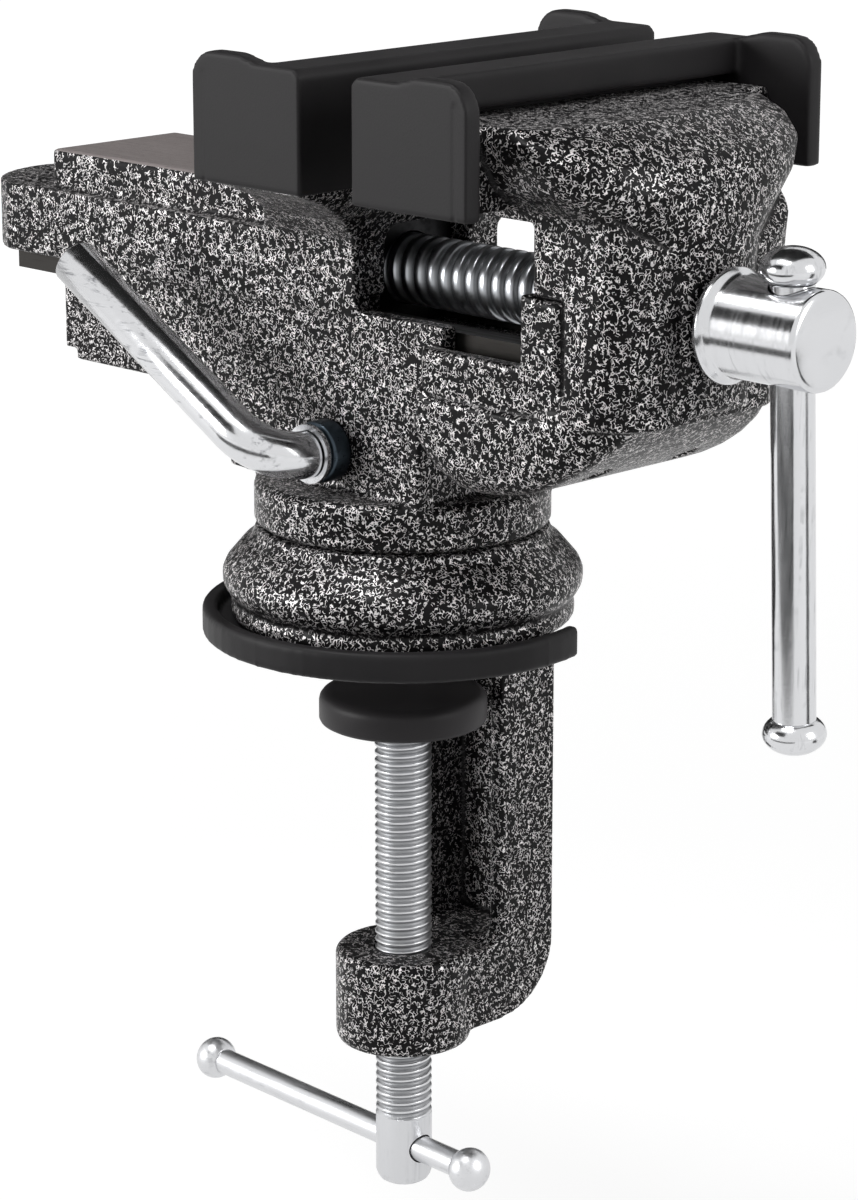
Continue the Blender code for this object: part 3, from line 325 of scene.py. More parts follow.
def moulded_rubber(name, colour):
    material, shader = new_finish(name, colour, MATT, 0.0)
    places = object_places(material)
    broad = noise(material, places, SHEEN_SCALE, 2.0)
    lighter = tuple(min(1.0, value * 1.5 + 0.004) for value in colour)
    wire(material, blend_colours(material, level(material, broad, 0.35, 0.7), colour, lighter),
         shader.inputs["Base Color"])
    wire(material, level(material, broad, 0.3, 0.7, MATT - 0.06, MATT + 0.06),
         shader.inputs["Roughness"])
    shader.inputs["Specular IOR Level"].default_value = 0.2
    bumps(material, shader, noise(material, places, SKIN_SCALE, 2.0), 0.25, 0.06 * MM)
    return material


cover_rubber = moulded_rubber("cover rubber", (0.0105, 0.0096, 0.0104))
# Painted light: the foot cap has the pad's rubber made about three times lighter, to lift the shade
# that the pad casts on it.
foot_rubber_painted_lighter = moulded_rubber("foot rubber painted lighter", (0.030, 0.028, 0.0295))
pad_rubber = moulded_rubber("pad rubber", (0.0105, 0.0098, 0.0106))
print("rubber finishes:", cover_rubber.name, foot_rubber_painted_lighter.name, pad_rubber.name, sep=", ")

# %% [markdown]
# ## Plated and plain metal
#
# The handle, the lever and the knobs are bright zinc, with fine streaks along the rods and a few
# darker scuffs.  Stretched noise makes the streaks.  The same tree, with other values, gives the
# satin lower end, the dark hub, the brass washer and the plain steel, so it is built only once.

# %% Plated and plain metal
EVEN = (60, 60, 60)
ALONG_X = (4, 90, 90)
ALONG_Z = (90, 90, 4)
STREAK_SCALE = 12
PATCH_SCALE = 220
GRAIN_SCALE = 1900


def metal(name, colour, dark, roughness, stretch=EVEN, scuffs=0.5, turn=(0, 0, 0)):
    """colour is the unworn metal and dark is what shows in the scuffs."""
    material, shader = new_finish(name, colour, roughness, 1.0)
    streaks = noise(material, object_places(material, stretch, turn), STREAK_SCALE, 3.0, 0.65)
    patches = noise(material, object_places(material), PATCH_SCALE, 2.0, 0.5, 0.6)
    worn = sums(material, 'MULTIPLY', level(material, streaks, 0.52, 0.66),
                level(material, patches, 0.45, 0.62))
    share = sums(material, 'MULTIPLY', worn, scuffs)
    wire(material, blend_colours(material, share, colour, dark), shader.inputs["Base Color"])
    wire(material, level(material, streaks, 0.3, 0.7, roughness * 0.75, roughness * 1.35),
         shader.inputs["Roughness"])
    grain = noise(material, object_places(material), GRAIN_SCALE, 2.0, 0.6)
    height = sums(material, 'ADD', streaks, sums(material, 'MULTIPLY', grain, 0.5))
    bumps(material, shader, height, 0.16, 0.05 * MM)
    return material


# %% The metals of the vise
ZINC = (0.66, 0.665, 0.68)
LEVER_RISE = math.radians(30)

zinc_x = metal("zinc, turned across", ZINC, (0.28, 0.285, 0.30), 0.17, (90, 12, 12), 0.35)
zinc_z = metal("zinc, drawn along the handle", ZINC, (0.26, 0.265, 0.28), 0.16, ALONG_Z)
zinc_bar = metal("zinc, drawn along the cross bar", ZINC, (0.36, 0.365, 0.38), 0.34, ALONG_X, 0.45)
zinc_satin = metal("zinc, satin lower end", (0.62, 0.625, 0.64), (0.40, 0.405, 0.42), 0.34,
                   ALONG_Z, 0.4)
zinc_lever = metal("zinc, drawn along the lever", (0.68, 0.685, 0.70), (0.12, 0.125, 0.14), 0.17,
                   ALONG_X, 0.8, (0, LEVER_RISE, 0))
dark_hub = metal("dark hub", (0.05, 0.065, 0.08), (0.015, 0.017, 0.02), 0.32, scuffs=0.6)
brass = metal("brass washer", (0.72, 0.45, 0.17), (0.4, 0.22, 0.08), 0.28, scuffs=0.4)
# The slide bar is dark oiled steel, and its colour is darker still as painted shade for the slot
# that it lies in.
oiled_bar_with_painted_shade = metal("ground slide bar with painted shade", (0.035, 0.033, 0.031), (0.018, 0.016, 0.015), 0.42,
                   ALONG_X, 0.6)
dark_nut = metal("oiled nut", (0.020, 0.020, 0.021), (0.01, 0.01, 0.01), 0.4)
plain_steel = metal("plain steel", (0.42, 0.43, 0.45), (0.2, 0.2, 0.2), 0.3, scuffs=0.4)
print("metal finishes, from", zinc_x.name, "to", plain_steel.name)

# %% [markdown]
# ## Threaded metal
#
# A thread is bright on its crests, and its roots are darkened as painted shade.  Two materials
# on one mesh would have to be laid face by face.  The distance from the axis of the screw tells
# crest from root just as well, and it holds for both screws.

# %% Threaded metal
ACROSS = {"X": (0, 1, 1), "Z": (1, 1, 0)}
SPINDLE_Z = 63.2 * MM


def threaded_metal(name, axis, centre, root, crest, bright, dark):
    material, shader = new_finish(name, bright, 0.2, 1.0)
    places = object_places(material)
    away = vectors(material, 'SUBTRACT', places, centre)
    radius = vectors(material, 'LENGTH', vectors(material, 'MULTIPLY', away, ACROSS[axis]))
    # Painted shade: the colour goes from dark at the root radius to bright at the crest.
    share = level(material, radius, root, crest)
    stains = level(material, noise(material, places, 300, 3.0), 0.3, 0.7, 0.75, 1.0)
    wire(material, blend_colours(material, sums(material, 'MULTIPLY', share, stains), dark, bright),
         shader.inputs["Base Color"])
    wire(material, level(material, share, 0, 1, 0.5, 0.3), shader.inputs["Roughness"])
    bumps(material, shader, noise(material, places, 900, 2.0), 0.1, 0.05 * MM)
    return material


spindle_thread_steel = threaded_metal("spindle thread", "X", (0, 0, SPINDLE_Z),
                                      root=5.0 * MM, crest=5.7 * MM,
                                      bright=(0.47, 0.485, 0.51), dark=(0.037, 0.039, 0.042))
clamp_thread_steel = threaded_metal("clamp thread", "Z", (0, 0, 0),
                                    root=4.45 * MM, crest=4.85 * MM,
                                    bright=ZINC, dark=(0.30, 0.305, 0.315))
print("thread finishes:", spindle_thread_steel.name, "and", clamp_thread_steel.name)

# %% [markdown]
# ## The skin of a casting
#
# The clamp frame, the swivelling body and the moving jaw come from sand moulds: no edge is sharp
# and every inner corner has a fillet.  A bevel would have to find each of those edges, and it
# fails where many of them meet.  So a copy of the solid is built again from small cubes and
# relaxed, which rounds all edges alike, outside and inside.

# %% Copy and soften
def copy_of(node, name):
    """A copy of a solid, with the points merged that its faces had each for themselves."""
    item = bpy.data.objects.new(name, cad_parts[node].data.copy())
    bpy.context.collection.objects.link(item)
    tidy_mesh(item, 0.01 * MM)
    return item


def soften(item, cube, rounds, keep=1.0):
    """cube is the size of the cubes, rounds how long they relax, keep the share of faces left."""
    remesh = item.modifiers.new("cubes", 'REMESH')
    remesh.mode = 'VOXEL'
    remesh.voxel_size = cube
    remesh.use_smooth_shade = True
    relax = item.modifiers.new("relax", 'SMOOTH')
    relax.factor = 0.5
    relax.iterations = rounds
    if keep < 1:
        fewer = item.modifiers.new("fewer faces", 'DECIMATE')
        fewer.ratio = keep
    apply_modifiers(item)
    bpy.ops.object.shade_smooth()
    return item


# %% [markdown]
# Where does the painted shade go?  Along an edge of the mesh, the normal at one end shows whether
# the other end lies above or below the surface.  The mean of that over all edges of a point says
# how hollow the surface is there, and a few rounds of smoothing take out the noise of the small
# faces.

# %% Mark the creases
CREASE_RADIUS = 0.9 * MM
CREASE_ROUNDS = 3


def mark_creases(item):
    """Stores how hollow the surface is at each point, 1 where it is as tight as the radius."""
    mesh = item.data
    count = len(mesh.vertices)
    places, normals = np.empty(3 * count), np.empty(3 * count)
    mesh.vertices.foreach_get("co", places)
    mesh.vertices.foreach_get("normal", normals)
    ends = np.empty(2 * len(mesh.edges), dtype=np.int32)
    mesh.edges.foreach_get("vertices", ends)
    places, normals = places.reshape(-1, 3), normals.reshape(-1, 3)
    first, second = ends.reshape(-1, 2).T
    step = places[second] - places[first]
    square = np.maximum((step ** 2).sum(axis=1), 1e-12)
    forth = (step * normals[first]).sum(axis=1) / square
    back = -(step * normals[second]).sum(axis=1) / square
    near = np.bincount(first, minlength=count) + np.bincount(second, minlength=count)
    near = np.maximum(near, 1)
    bend = (np.bincount(first, forth, count) + np.bincount(second, back, count)) / near
    for _ in range(CREASE_ROUNDS):
        around = np.bincount(first, bend[second], count) + np.bincount(second, bend[first], count)
        bend = (bend + around / near) / 2
    hollow = bend * 4 * CREASE_RADIUS
    crease = mesh.attributes.new(CREASE, 'FLOAT', 'POINT')
    crease.data.foreach_set("value", np.clip(hollow, 0, 1))
    print(item.name, "creases on", int((hollow > 0.5).sum()), "of", count, "points")


# %% [markdown]
# ## The three castings
#
# All three are softened with cubes of 0.42 mm, which keeps the round edges below one millimetre,
# as they look in the photo.  The jaw also has a dark parting groove round its cheek.  A dark line
# in the paint would vanish from the side, so the groove is cut on both sides, as a real one is,
# before the jaw is softened.

# %% Tools for cutting
def box_tool(low, high):
    bpy.ops.object.select_all(action='DESELECT')
    middle = (Vector(low) + Vector(high)) / 2
    bpy.ops.mesh.primitive_cube_add(size=1, location=middle)
    tool = bpy.context.object
    tool.scale = Vector(high) - Vector(low)
    bpy.ops.object.transform_apply(location=True, rotation=True, scale=True)
    return tool


def cut_away(item, tool):
    modifier = item.modifiers.new("cut", 'BOOLEAN')
    modifier.operation = 'DIFFERENCE'
    modifier.solver = 'EXACT'
    modifier.object = tool
    apply_modifiers(item)
    bpy.data.objects.remove(tool, do_unlink=True)


# %% Clamp frame and swivelling body
CAST_CUBE = 0.42 * MM

frame_casting = soften(copy_of("clamp_frame", "frame_casting"), CAST_CUBE, rounds=5, keep=0.35)
mark_creases(frame_casting)
dress(frame_casting, paint, "clamp_base", "hammer_paint", "clamp_frame")
body_casting = soften(copy_of("swivel_body", "body_casting"), CAST_CUBE, rounds=4, keep=0.30)
mark_creases(body_casting)
dress(body_casting, paint_bare, "swivel", "hammer_paint", "swivel_body")

# %% Moving jaw
CHEEK_SIDE = 20.5 * MM
GROOVE_DEEP = 1.8 * MM
# The lower and upper (x, z) corners of the three lines of the groove, in mm.
jaw_grooves = [((54.8, 48.6), (55.7, 67.6)),
               ((49.2, 66.8), (55.7, 67.6)),
               ((25.0, 47.7), (55.7, 48.6))]

jaw_casting = copy_of("moving_jaw", "jaw_casting")
for cheek in (-CHEEK_SIDE, CHEEK_SIDE):
    for (low_x, low_z), (high_x, high_z) in jaw_grooves:
        cut_away(jaw_casting, box_tool((low_x * MM, cheek - GROOVE_DEEP, low_z * MM),
                                       (high_x * MM, cheek + GROOVE_DEEP, high_z * MM)))
soften(jaw_casting, CAST_CUBE, rounds=4, keep=0.32)
mark_creases(jaw_casting)
dress(jaw_casting, paint, "jaw", "hammer_paint", "moving_jaw")

# %% [markdown]
# ## Soft covers and pads
#
# The two jaw covers and the bench pad are rubber mouldings.  They aren't stuffed, so no cloth is
# needed: the same cubes, a little larger, give them the round edges of a mould.  The end walls
# of the covers carry a shallow upright groove near their open edge, cut before the softening.

# %% Covers and pads
SOFT_CUBE = 0.5 * MM
COVER_GROOVE = 0.6 * MM
COVER_GROOVE_DEEP = 0.45 * MM


def jaw_cover(node, name, groove_x, body):
    """groove_x is where the upright groove of the end walls starts."""
    item = copy_of(node, name)
    low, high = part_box(node)
    for wall in (low.y, high.y):
        cut_away(item, box_tool((groove_x, wall - COVER_GROOVE_DEEP, low.z - MM),
                                (groove_x + COVER_GROOVE, wall + COVER_GROOVE_DEEP,
                                 high.z - 3 * MM)))
    soften(item, SOFT_CUBE, rounds=6)
    dress(item, cover_rubber, body, "rubber", node)


fixed_low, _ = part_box("fixed_jaw_cover")
_, moving_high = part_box("moving_jaw_cover")
jaw_cover("fixed_jaw_cover", "fixed_cover", fixed_low.x + 2.4 * MM, "swivel")
jaw_cover("moving_jaw_cover", "moving_cover", moving_high.x - 3.0 * MM, "jaw")
pad = soften(copy_of("bench_pad", "bench_seat_pad"), SOFT_CUBE, rounds=3)
dress(pad, pad_rubber, "clamp_base", "rubber", "bench_pad")

# %% [markdown]
# ## Turning on a lathe
#
# Screws, knobs and washers are turned on a lathe, and so are they here.  A cylinder could be
# shaped ring by ring, but half an outline says it all.  It is drawn by extruding one point, and
# the Screw modifier carries it round.  With a rise for each turn, the same modifier cuts a thread.

# %% Draw an outline and carry it round
def draw_outline(name, points):
    bpy.ops.object.select_all(action='DESELECT')
    bpy.ops.mesh.primitive_plane_add(size=MM)
    item = bpy.context.object
    item.name = name
    bpy.ops.object.mode_set(mode='EDIT')
    bpy.ops.mesh.select_all(action='SELECT')
    bpy.ops.mesh.merge(type='CENTER')
    bpy.ops.transform.translate(value=points[0])
    for before, after in zip(points, points[1:]):
        step = Vector(after) - Vector(before)
        bpy.ops.mesh.extrude_region_move(TRANSFORM_OT_translate={"value": step})
    bpy.ops.object.mode_set(mode='OBJECT')
    return item


def carry_round(item, steps, rise=0.0, turns=1):
    screw = item.modifiers.new("carry round", 'SCREW')
    screw.axis = 'Z'
    screw.angle = 2 * math.pi
    screw.steps = steps
    screw.render_steps = steps
    screw.screw_offset = rise
    screw.iterations = turns
    apply_modifiers(item)
    tidy_mesh(item)


# %% Turned pieces and cross holes
DRILL_REACH = 20 * MM


def from_mm(outline):
    return [(radius * MM, height * MM) for radius, height in outline]


def turned(name, outline, steps=64, angle=35):
    """outline is a list of (radius, height)."""
    item = draw_outline(name, [(radius, 0, height) for radius, height in outline])
    carry_round(item, steps)
    smooth_shading(item, angle)
    return item


def cross_hole(item, radius, place, way, steps):
    """Drills a hole through a turned piece, for a rod."""
    drill = turned("drill", [(0, -DRILL_REACH), (radius, -DRILL_REACH),
                             (radius, DRILL_REACH), (0, DRILL_REACH)], steps)
    put(drill, place, way)
    cut_away(item, drill)
    smooth_shading(item)


# %% [markdown]
# A thread is first made a turn and a half too long at both ends, and a straight cut takes that off
# and closes the mesh.  The shape of one pitch is given in shares of it: a root, a flank, a crest
# with a flat land, a flank and a root again.

# %% Threads
FLANK = 0.24
CREST_ROUND = 0.03


def trim(item, height, upper):
    """Cuts a piece off flat at a height and closes the cut."""
    pick(item)
    bpy.ops.object.mode_set(mode='EDIT')
    bpy.ops.mesh.select_all(action='SELECT')
    bpy.ops.mesh.bisect(plane_co=(0, 0, height), plane_no=(0, 0, 1), use_fill=True,
                        clear_outer=upper, clear_inner=not upper)
    bpy.ops.object.mode_set(mode='OBJECT')


def thread(name, root, crest, pitch, low, high, steps=40, land=0.2):
    """A screw thread from low to high; land is the share of the pitch that is flat crest."""
    rise, fall = 0.5 - land / 2, 0.5 + land / 2
    deep = crest - root
    half_way, shoulder = root + 0.5 * deep, crest - 0.08 * deep
    shape = [(root, 0.0), (root, rise - FLANK), (half_way, rise - FLANK / 2),
             (shoulder, rise - CREST_ROUND), (crest, rise + CREST_ROUND),
             (crest, fall - CREST_ROUND), (shoulder, fall + CREST_ROUND),
             (half_way, fall + FLANK / 2), (root, fall + FLANK), (root, 1.0)]
    points = [(radius, 0, low - 1.5 * pitch + share * pitch) for radius, share in shape]
    item = draw_outline(name, points)
    carry_round(item, steps, pitch, int(math.ceil((high - low) / pitch)) + 3)
    trim(item, high, True)
    trim(item, low, False)
    tidy_mesh(item)
    smooth_shading(item, 60)
    return item


# %% [markdown]
# ## The main screw
#
# The spindle draws the moving jaw.  It has a coarse thread, a collar that bears on the jaw and a
# head with a cross hole for the handle.  Head and thread are made apart, because their finishes
# differ, and they meet inside the jaw.  The brass washer sits behind the wall of the jaw.

# %% Head of the main screw
HANDLE_X = 84.94 * MM
HANDLE_LEAN = math.radians(2.6)
lean_way = Vector((0, -math.sin(HANDLE_LEAN), math.cos(HANDLE_LEAN)))

head_outline = [(0, 43.8), (5.0, 43.8), (5.0, 72.3), (8.7, 72.3), (9.15, 72.5), (9.3, 72.9),
                (9.3, 73.3), (9.1, 73.7), (8.6, 74.1), (8.25, 74.6), (8.0, 75.2), (8.0, 90.6),
                (7.85, 91.0), (7.5, 91.3), (6.9, 91.5), (0, 91.5)]
spindle_head = turned("spindle_head", from_mm(head_outline), steps=96)
put(spindle_head, (0, 0, SPINDLE_Z), (1, 0, 0))
cross_hole(spindle_head, 3.8 * MM, (HANDLE_X, 0, SPINDLE_Z), lean_way, steps=64)
dress(spindle_head, zinc_x, "main_screw", "bright_zinc", "spindle")

# %% Thread of the main screw and its washer
spindle_screw = thread("spindle_thread", root=5.0 * MM, crest=6.0 * MM, pitch=3.0 * MM,
                       low=-56 * MM, high=44.4 * MM, steps=48, land=0.42)
put(spindle_screw, (0, 0, SPINDLE_Z), (1, 0, 0))
dress(spindle_screw, spindle_thread_steel, "main_screw", "steel_thread", "spindle")

washer_outline = [(5.3, 47.7), (7.4, 47.7), (7.6, 47.9), (7.6, 49.0), (7.4, 49.2), (5.3, 49.2),
                  (5.3, 47.7)]
washer = turned("washer", from_mm(washer_outline))
put(washer, (0, 0, SPINDLE_Z), (1, 0, 0))
dress(washer, brass, "main_screw", "brass", "spindle_washer")

# %% [markdown]
# ## Rods and their end knobs
#
# The handle and the cross bar are drawn rods with a pressed-on knob at each end, which keeps them
# in their hole.  A knob could be a squashed sphere, but its poles would pinch.  It is turned: a
# flattened ball that starts at the rod.  It is modelled once and copied for the other end.

# %% Rods and knobs
KNOB_STEPS = 20


def ball_outline(radius, height, neck):
    """A closed foot and a flattened ball that starts at the neck."""
    start = -math.acos(neck / radius)
    rise = height / (1 - math.sin(start))
    points = [(0, 0.02 * MM), (neck - 0.2 * MM, 0.02 * MM)]
    for step in range(KNOB_STEPS + 1):
        angle = start + (math.pi / 2 - start) * step / KNOB_STEPS
        reach = radius * math.cos(angle) if step < KNOB_STEPS else 0
        points.append((reach, rise * (math.sin(angle) - math.sin(start))))
    return points


def rod_with_knobs(name, rod_radius, length, knob_radius, knob_height, seat):
    """Rod along Z; seat is how far it reaches into each knob."""
    rod = turned(name, [(0, -seat), (rod_radius, -seat), (rod_radius, length + seat),
                        (0, length + seat)], 64)
    outline = ball_outline(knob_radius, knob_height, rod_radius + 0.12 * MM)
    upper = turned(name + "_knob_a", outline, steps=48, angle=50)
    lower = upper.copy()
    lower.data = upper.data.copy()
    lower.name = name + "_knob_b"
    bpy.context.collection.objects.link(lower)
    return rod, upper, lower


def place_rod(parts, start, way, length):
    rod, upper, lower = parts
    put(rod, start, way)
    put(upper, Vector(start) + way * length, way)
    put(lower, start, -way)


# %% Handle
HANDLE_SPAN = 70.1 * MM
HANDLE_ABOVE = 8.3 * MM

handle_parts = rod_with_knobs("handle_rod", rod_radius=3.5 * MM, length=HANDLE_SPAN,
                              knob_radius=5.15 * MM, knob_height=5.75 * MM, seat=3.0 * MM)
handle_top = Vector((HANDLE_X, 0, SPINDLE_Z)) + lean_way * HANDLE_ABOVE
place_rod(handle_parts, handle_top - lean_way * HANDLE_SPAN, lean_way, HANDLE_SPAN)
handle_nodes = ("spindle_handle", "spindle_handle_knob_upper", "spindle_handle_knob_lower")
for part, node in zip(handle_parts, handle_nodes):
    dress(part, zinc_z, "handle", "bright_zinc", node)

# %% Cross bar
BAR_Z = -95.3 * MM
BAR_SPAN = 64.8 * MM
BAR_BEHIND = 50.3 * MM
BAR_TURN = math.radians(-2.7)
bar_way = Vector((math.cos(BAR_TURN), math.sin(BAR_TURN), 0))

bar_parts = rod_with_knobs("cross_bar", rod_radius=2.35 * MM, length=BAR_SPAN,
                           knob_radius=3.9 * MM, knob_height=6.2 * MM, seat=2.5 * MM)
place_rod(bar_parts, Vector((0, 0, BAR_Z)) - bar_way * BAR_BEHIND, bar_way, BAR_SPAN)
for part, node in zip(bar_parts, ("clamp_bar", "clamp_bar_knob_short", "clamp_bar_knob_long")):
    dress(part, zinc_bar, "cross_bar", "bright_zinc", node)

# %% [markdown]
# ## The clamp screw
#
# The fine thread runs from the plain lower end, which holds the cross bar, up to a neck.  The neck
# turns in a steel foot, so that the foot presses on the bench without turning.  A soft cap covers
# the foot.  Thread and neck are one piece of steel, so they are joined into one object.

# %% Clamp screw
def fuse(main, *others):
    """Several shells become one object."""
    pick(main)
    for other in others:
        other.select_set(True)
    bpy.ops.object.join()


lower_outline = [(0, -102.5), (2.8, -102.5), (3.7, -102.2), (4.3, -101.8), (4.75, -101.1),
                 (5.0, -100.3), (5.0, -89.4), (4.4, -88.8), (0, -88.8)]
clamp_end = turned("clamp_screw_end", from_mm(lower_outline), 64)
cross_hole(clamp_end, 2.6 * MM, (0, 0, BAR_Z), bar_way, steps=48)
dress(clamp_end, zinc_satin, "bench_screw", "bright_zinc", "clamp_screw")

clamp_thread = thread("clamp_screw_thread", root=4.4 * MM, crest=5.0 * MM, pitch=1.5 * MM,
                      low=-89.2 * MM, high=-18.9 * MM)
neck_outline = [(0, -19.5), (3.4, -19.5), (3.4, -14.7), (2.6, -13.9), (0, -13.9)]
fuse(clamp_thread, turned("clamp_neck", from_mm(neck_outline), steps=48))
dress(clamp_thread, clamp_thread_steel, "bench_screw", "bright_zinc", "clamp_screw")

# %% Foot and cap
foot_outline = [(3.7, -16.5), (10.4, -16.5), (11.0, -15.9), (11.0, -13.3), (0, -13.3), (0, -13.6),
                (3.7, -13.6), (3.7, -16.5)]
foot = turned("foot", from_mm(foot_outline))
dress(foot, plain_steel, "foot", "steel_thread", "clamp_foot")

cap_outline = [(11.3, -16.1), (11.6, -16.5), (13.8, -16.5), (14.35, -16.2), (14.6, -15.7),
               (14.6, -12.7), (14.45, -12.0), (14.0, -11.4), (13.3, -11.05), (12.4, -11.0),
               (0, -11.0), (0, -13.0), (11.3, -13.0), (11.3, -16.1)]
cap = turned("foot_cap", from_mm(cap_outline), steps=96)
dress(cap, foot_rubber_painted_lighter, "foot", "rubber", "clamp_foot_cap")

# %% [markdown]
# ## The swivel lock
#
# A round lever, bent through a right angle, screws a brass shoe against the spigot of the base.
# A curve with a round section would do, but its end would need a cap.  Here the bend is a spin
# of one circle about the centre of the bend, and the straight part is an extrusion, which gives
# a closed mesh at once.  The bright shoulder and the dark hub of the lever are turned.

# %% Bend of the lever
LOCK_Z = 34.4 * MM
LEVER_Y = -22.6 * MM
LEVER_RADIUS = 4.0 * MM
LEVER_BEND = 9.0 * MM
LEVER_STRAIGHT = 46.0 * MM
out = Vector((0, -1, 0))
along = Vector((-math.cos(LEVER_RISE), 0, math.sin(LEVER_RISE)))


def bent_lever():
    bpy.ops.object.select_all(action='DESELECT')
    start = Vector((0, LEVER_Y, LOCK_Z))
    bpy.ops.mesh.primitive_circle_add(vertices=48, radius=LEVER_RADIUS, fill_type='NGON',
                                      location=start, rotation=(math.pi / 2, 0, 0))
    item = bpy.context.object
    item.name = "lock_lever_bent"
    bpy.ops.object.transform_apply(location=True, rotation=True, scale=True)
    bpy.ops.object.mode_set(mode='EDIT')
    bpy.ops.mesh.select_all(action='SELECT')
    bpy.ops.mesh.spin(steps=16, angle=math.pi / 2, center=start + along * LEVER_BEND,
                      axis=along.cross(out), dupli=False)
    bpy.ops.object.mode_set(mode='OBJECT')
    return item


lever = bent_lever()
print("bend of the lever:", len(lever.data.polygons), "faces")

# %% Straight part of the lever
RIM_IN = 0.8 * MM
RIM_OUT = 0.7 * MM


def carry_straight(item):
    """Finds the free end of the bend, extrudes it and rounds its rim."""
    tip = max(vertex.co.dot(along) for vertex in item.data.vertices)
    for vertex in item.data.vertices:
        vertex.select = vertex.co.dot(along) > tip - 0.02 * MM
    for group in (item.data.edges, item.data.polygons):
        for part in group:
            part.select = all(item.data.vertices[index].select for index in part.vertices)
    bpy.ops.object.mode_set(mode='EDIT')
    bpy.ops.mesh.extrude_region_move(TRANSFORM_OT_translate={"value": along * LEVER_STRAIGHT})
    bpy.ops.mesh.edge_face_add()
    bpy.ops.mesh.inset(thickness=RIM_IN, depth=0.0)
    bpy.ops.transform.translate(value=along * RIM_OUT)
    bpy.ops.object.mode_set(mode='OBJECT')


carry_straight(lever)
tidy_mesh(lever)
smooth_shading(lever, 50)
dress(lever, zinc_lever, "lock", "bright_zinc", "lock_lever")

# %% Shoulder and hub of the lever
RING_Y = -21.0 * MM
HUB_Y = -17.3 * MM

ring_outline = [(0, 0), (4.5, 0), (4.85, 0.2), (5.0, 0.5), (5.0, 1.3), (0, 1.3)]
ring = turned("lock_shoulder", from_mm(ring_outline))
put(ring, (0, RING_Y, LOCK_Z), out)
dress(ring, zinc_x, "lock", "bright_zinc", "lock_ring")

hub_outline = [(0, -7.0), (4.0, -7.0), (4.0, 0), (5.2, 0), (5.2, 2.9), (5.05, 3.2), (4.7, 3.4),
               (0, 3.4)]
hub = turned("lock_hub", from_mm(hub_outline))
put(hub, (0, HUB_Y, LOCK_Z), out)
dress(hub, dark_hub, "lock", "black_steel", "lock_screw")

# %% [markdown]
# ## Pieces that keep their solid
#
# The slide bar, its pins, the nut and its screw, the washer's pin and the shoe are plain machined
# pieces, and most of them are hidden inside.  Modelling them again would add nothing, so their
# solids stay where they are, with a finish of their own.

# %% Finishes for the solids that stay
kept_finishes = {"slide_bar": oiled_bar_with_painted_shade, "slide_bar_pin_near": plain_steel,
                 "slide_bar_pin_far": plain_steel, "spindle_nut": dark_nut,
                 "nut_screw": plain_steel, "spindle_pin": plain_steel, "lock_shoe": brass}
for node, material in kept_finishes.items():
    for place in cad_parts[node].material_slots:
        place.material = material
print("solids kept:", sorted(kept_finishes))

# %% [markdown]
# ## A white floor that keeps the shadow
#
# The photo has a white ground.  The vise hangs over it, as it would on the edge of a bench, and
# the floor lies below the lowest place that the clamp screw reaches.  A white lit floor would send
# light up under the vise, so it is grey for that, and glows only for the rays that see it.
# Near the vise the glow is short of white, and the lamps fill it up, except in the shadow.

# %% Floor
FLOOR_Z = solid_box[0][2] - 41.5 * MM
FLOOR_GREY = (0.26, 0.26, 0.26)
GLOW_NEAR, GLOW_FAR = 0.84, 1.0
NEAR, FAR = 0.35, 1.3


def seen_share(material):
    """1 for the rays of the camera, of gloss and of glass, and 0 for the others."""
    path = add_node(material, 'ShaderNodeLightPath')
    two = sums(material, 'MAXIMUM', path.outputs["Is Camera Ray"], path.outputs["Is Glossy Ray"])
    return sums(material, 'MAXIMUM', two, path.outputs["Is Transmission Ray"])


bpy.ops.object.select_all(action='DESELECT')
bpy.ops.mesh.primitive_plane_add(size=6.0, location=(0, 0, FLOOR_Z))
floor = bpy.context.object
floor.name = "floor"
pick(floor)
bpy.ops.object.transform_apply(location=True, rotation=True, scale=True)

floor_paint, floor_shader = new_finish("floor", FLOOR_GREY, 0.9, 0.0)
floor_shader.inputs["Emission Color"].default_value = (1, 1, 1, 1)
floor_shader.inputs["Specular IOR Level"].default_value = 0.0
reach = vectors(floor_paint, 'LENGTH', object_places(floor_paint))
glow = level(floor_paint, reach, NEAR, FAR, GLOW_NEAR, GLOW_FAR)
wire(floor_paint, sums(floor_paint, 'MULTIPLY', glow, seen_share(floor_paint)),
     floor_shader.inputs["Emission Strength"])
floor.data.materials.append(floor_paint)
print("floor at", round(FLOOR_Z / MM, 1), "mm")

# %% [markdown]
# ## Room and lamps
#
# The photo shows soft light on a white ground.  One bright world would light all sides alike and
# show no form.  So the room is white only where it is seen, and weak as a light.  A large soft
# lamp lights the vise from the left, and weaker ones light it from the right and from above.

# %% Room and lamps
ROOM_LIGHT = 0.17
AIM = Vector((0, 0, 0.03))
# name: place in m, size in m, power in W
lamps = {"key lamp": ((-0.55, -0.85, 0.24), (0.45, 0.35), 6.2),
         "side lamp": ((0.85, 0.20, 0.35), (0.3, 0.5), 2.6),
         "top lamp": ((-0.04, -0.36, 0.88), (0.5, 0.16), 4.0)}

world = bpy.data.worlds.new("white room")
bpy.context.scene.world = world
world.use_nodes = True
background = world.node_tree.nodes["Background"]
background.inputs["Color"].default_value = (1, 1, 1, 1)
wire(world, level(world, seen_share(world), 0, 1, ROOM_LIGHT, 1.0), background.inputs["Strength"])

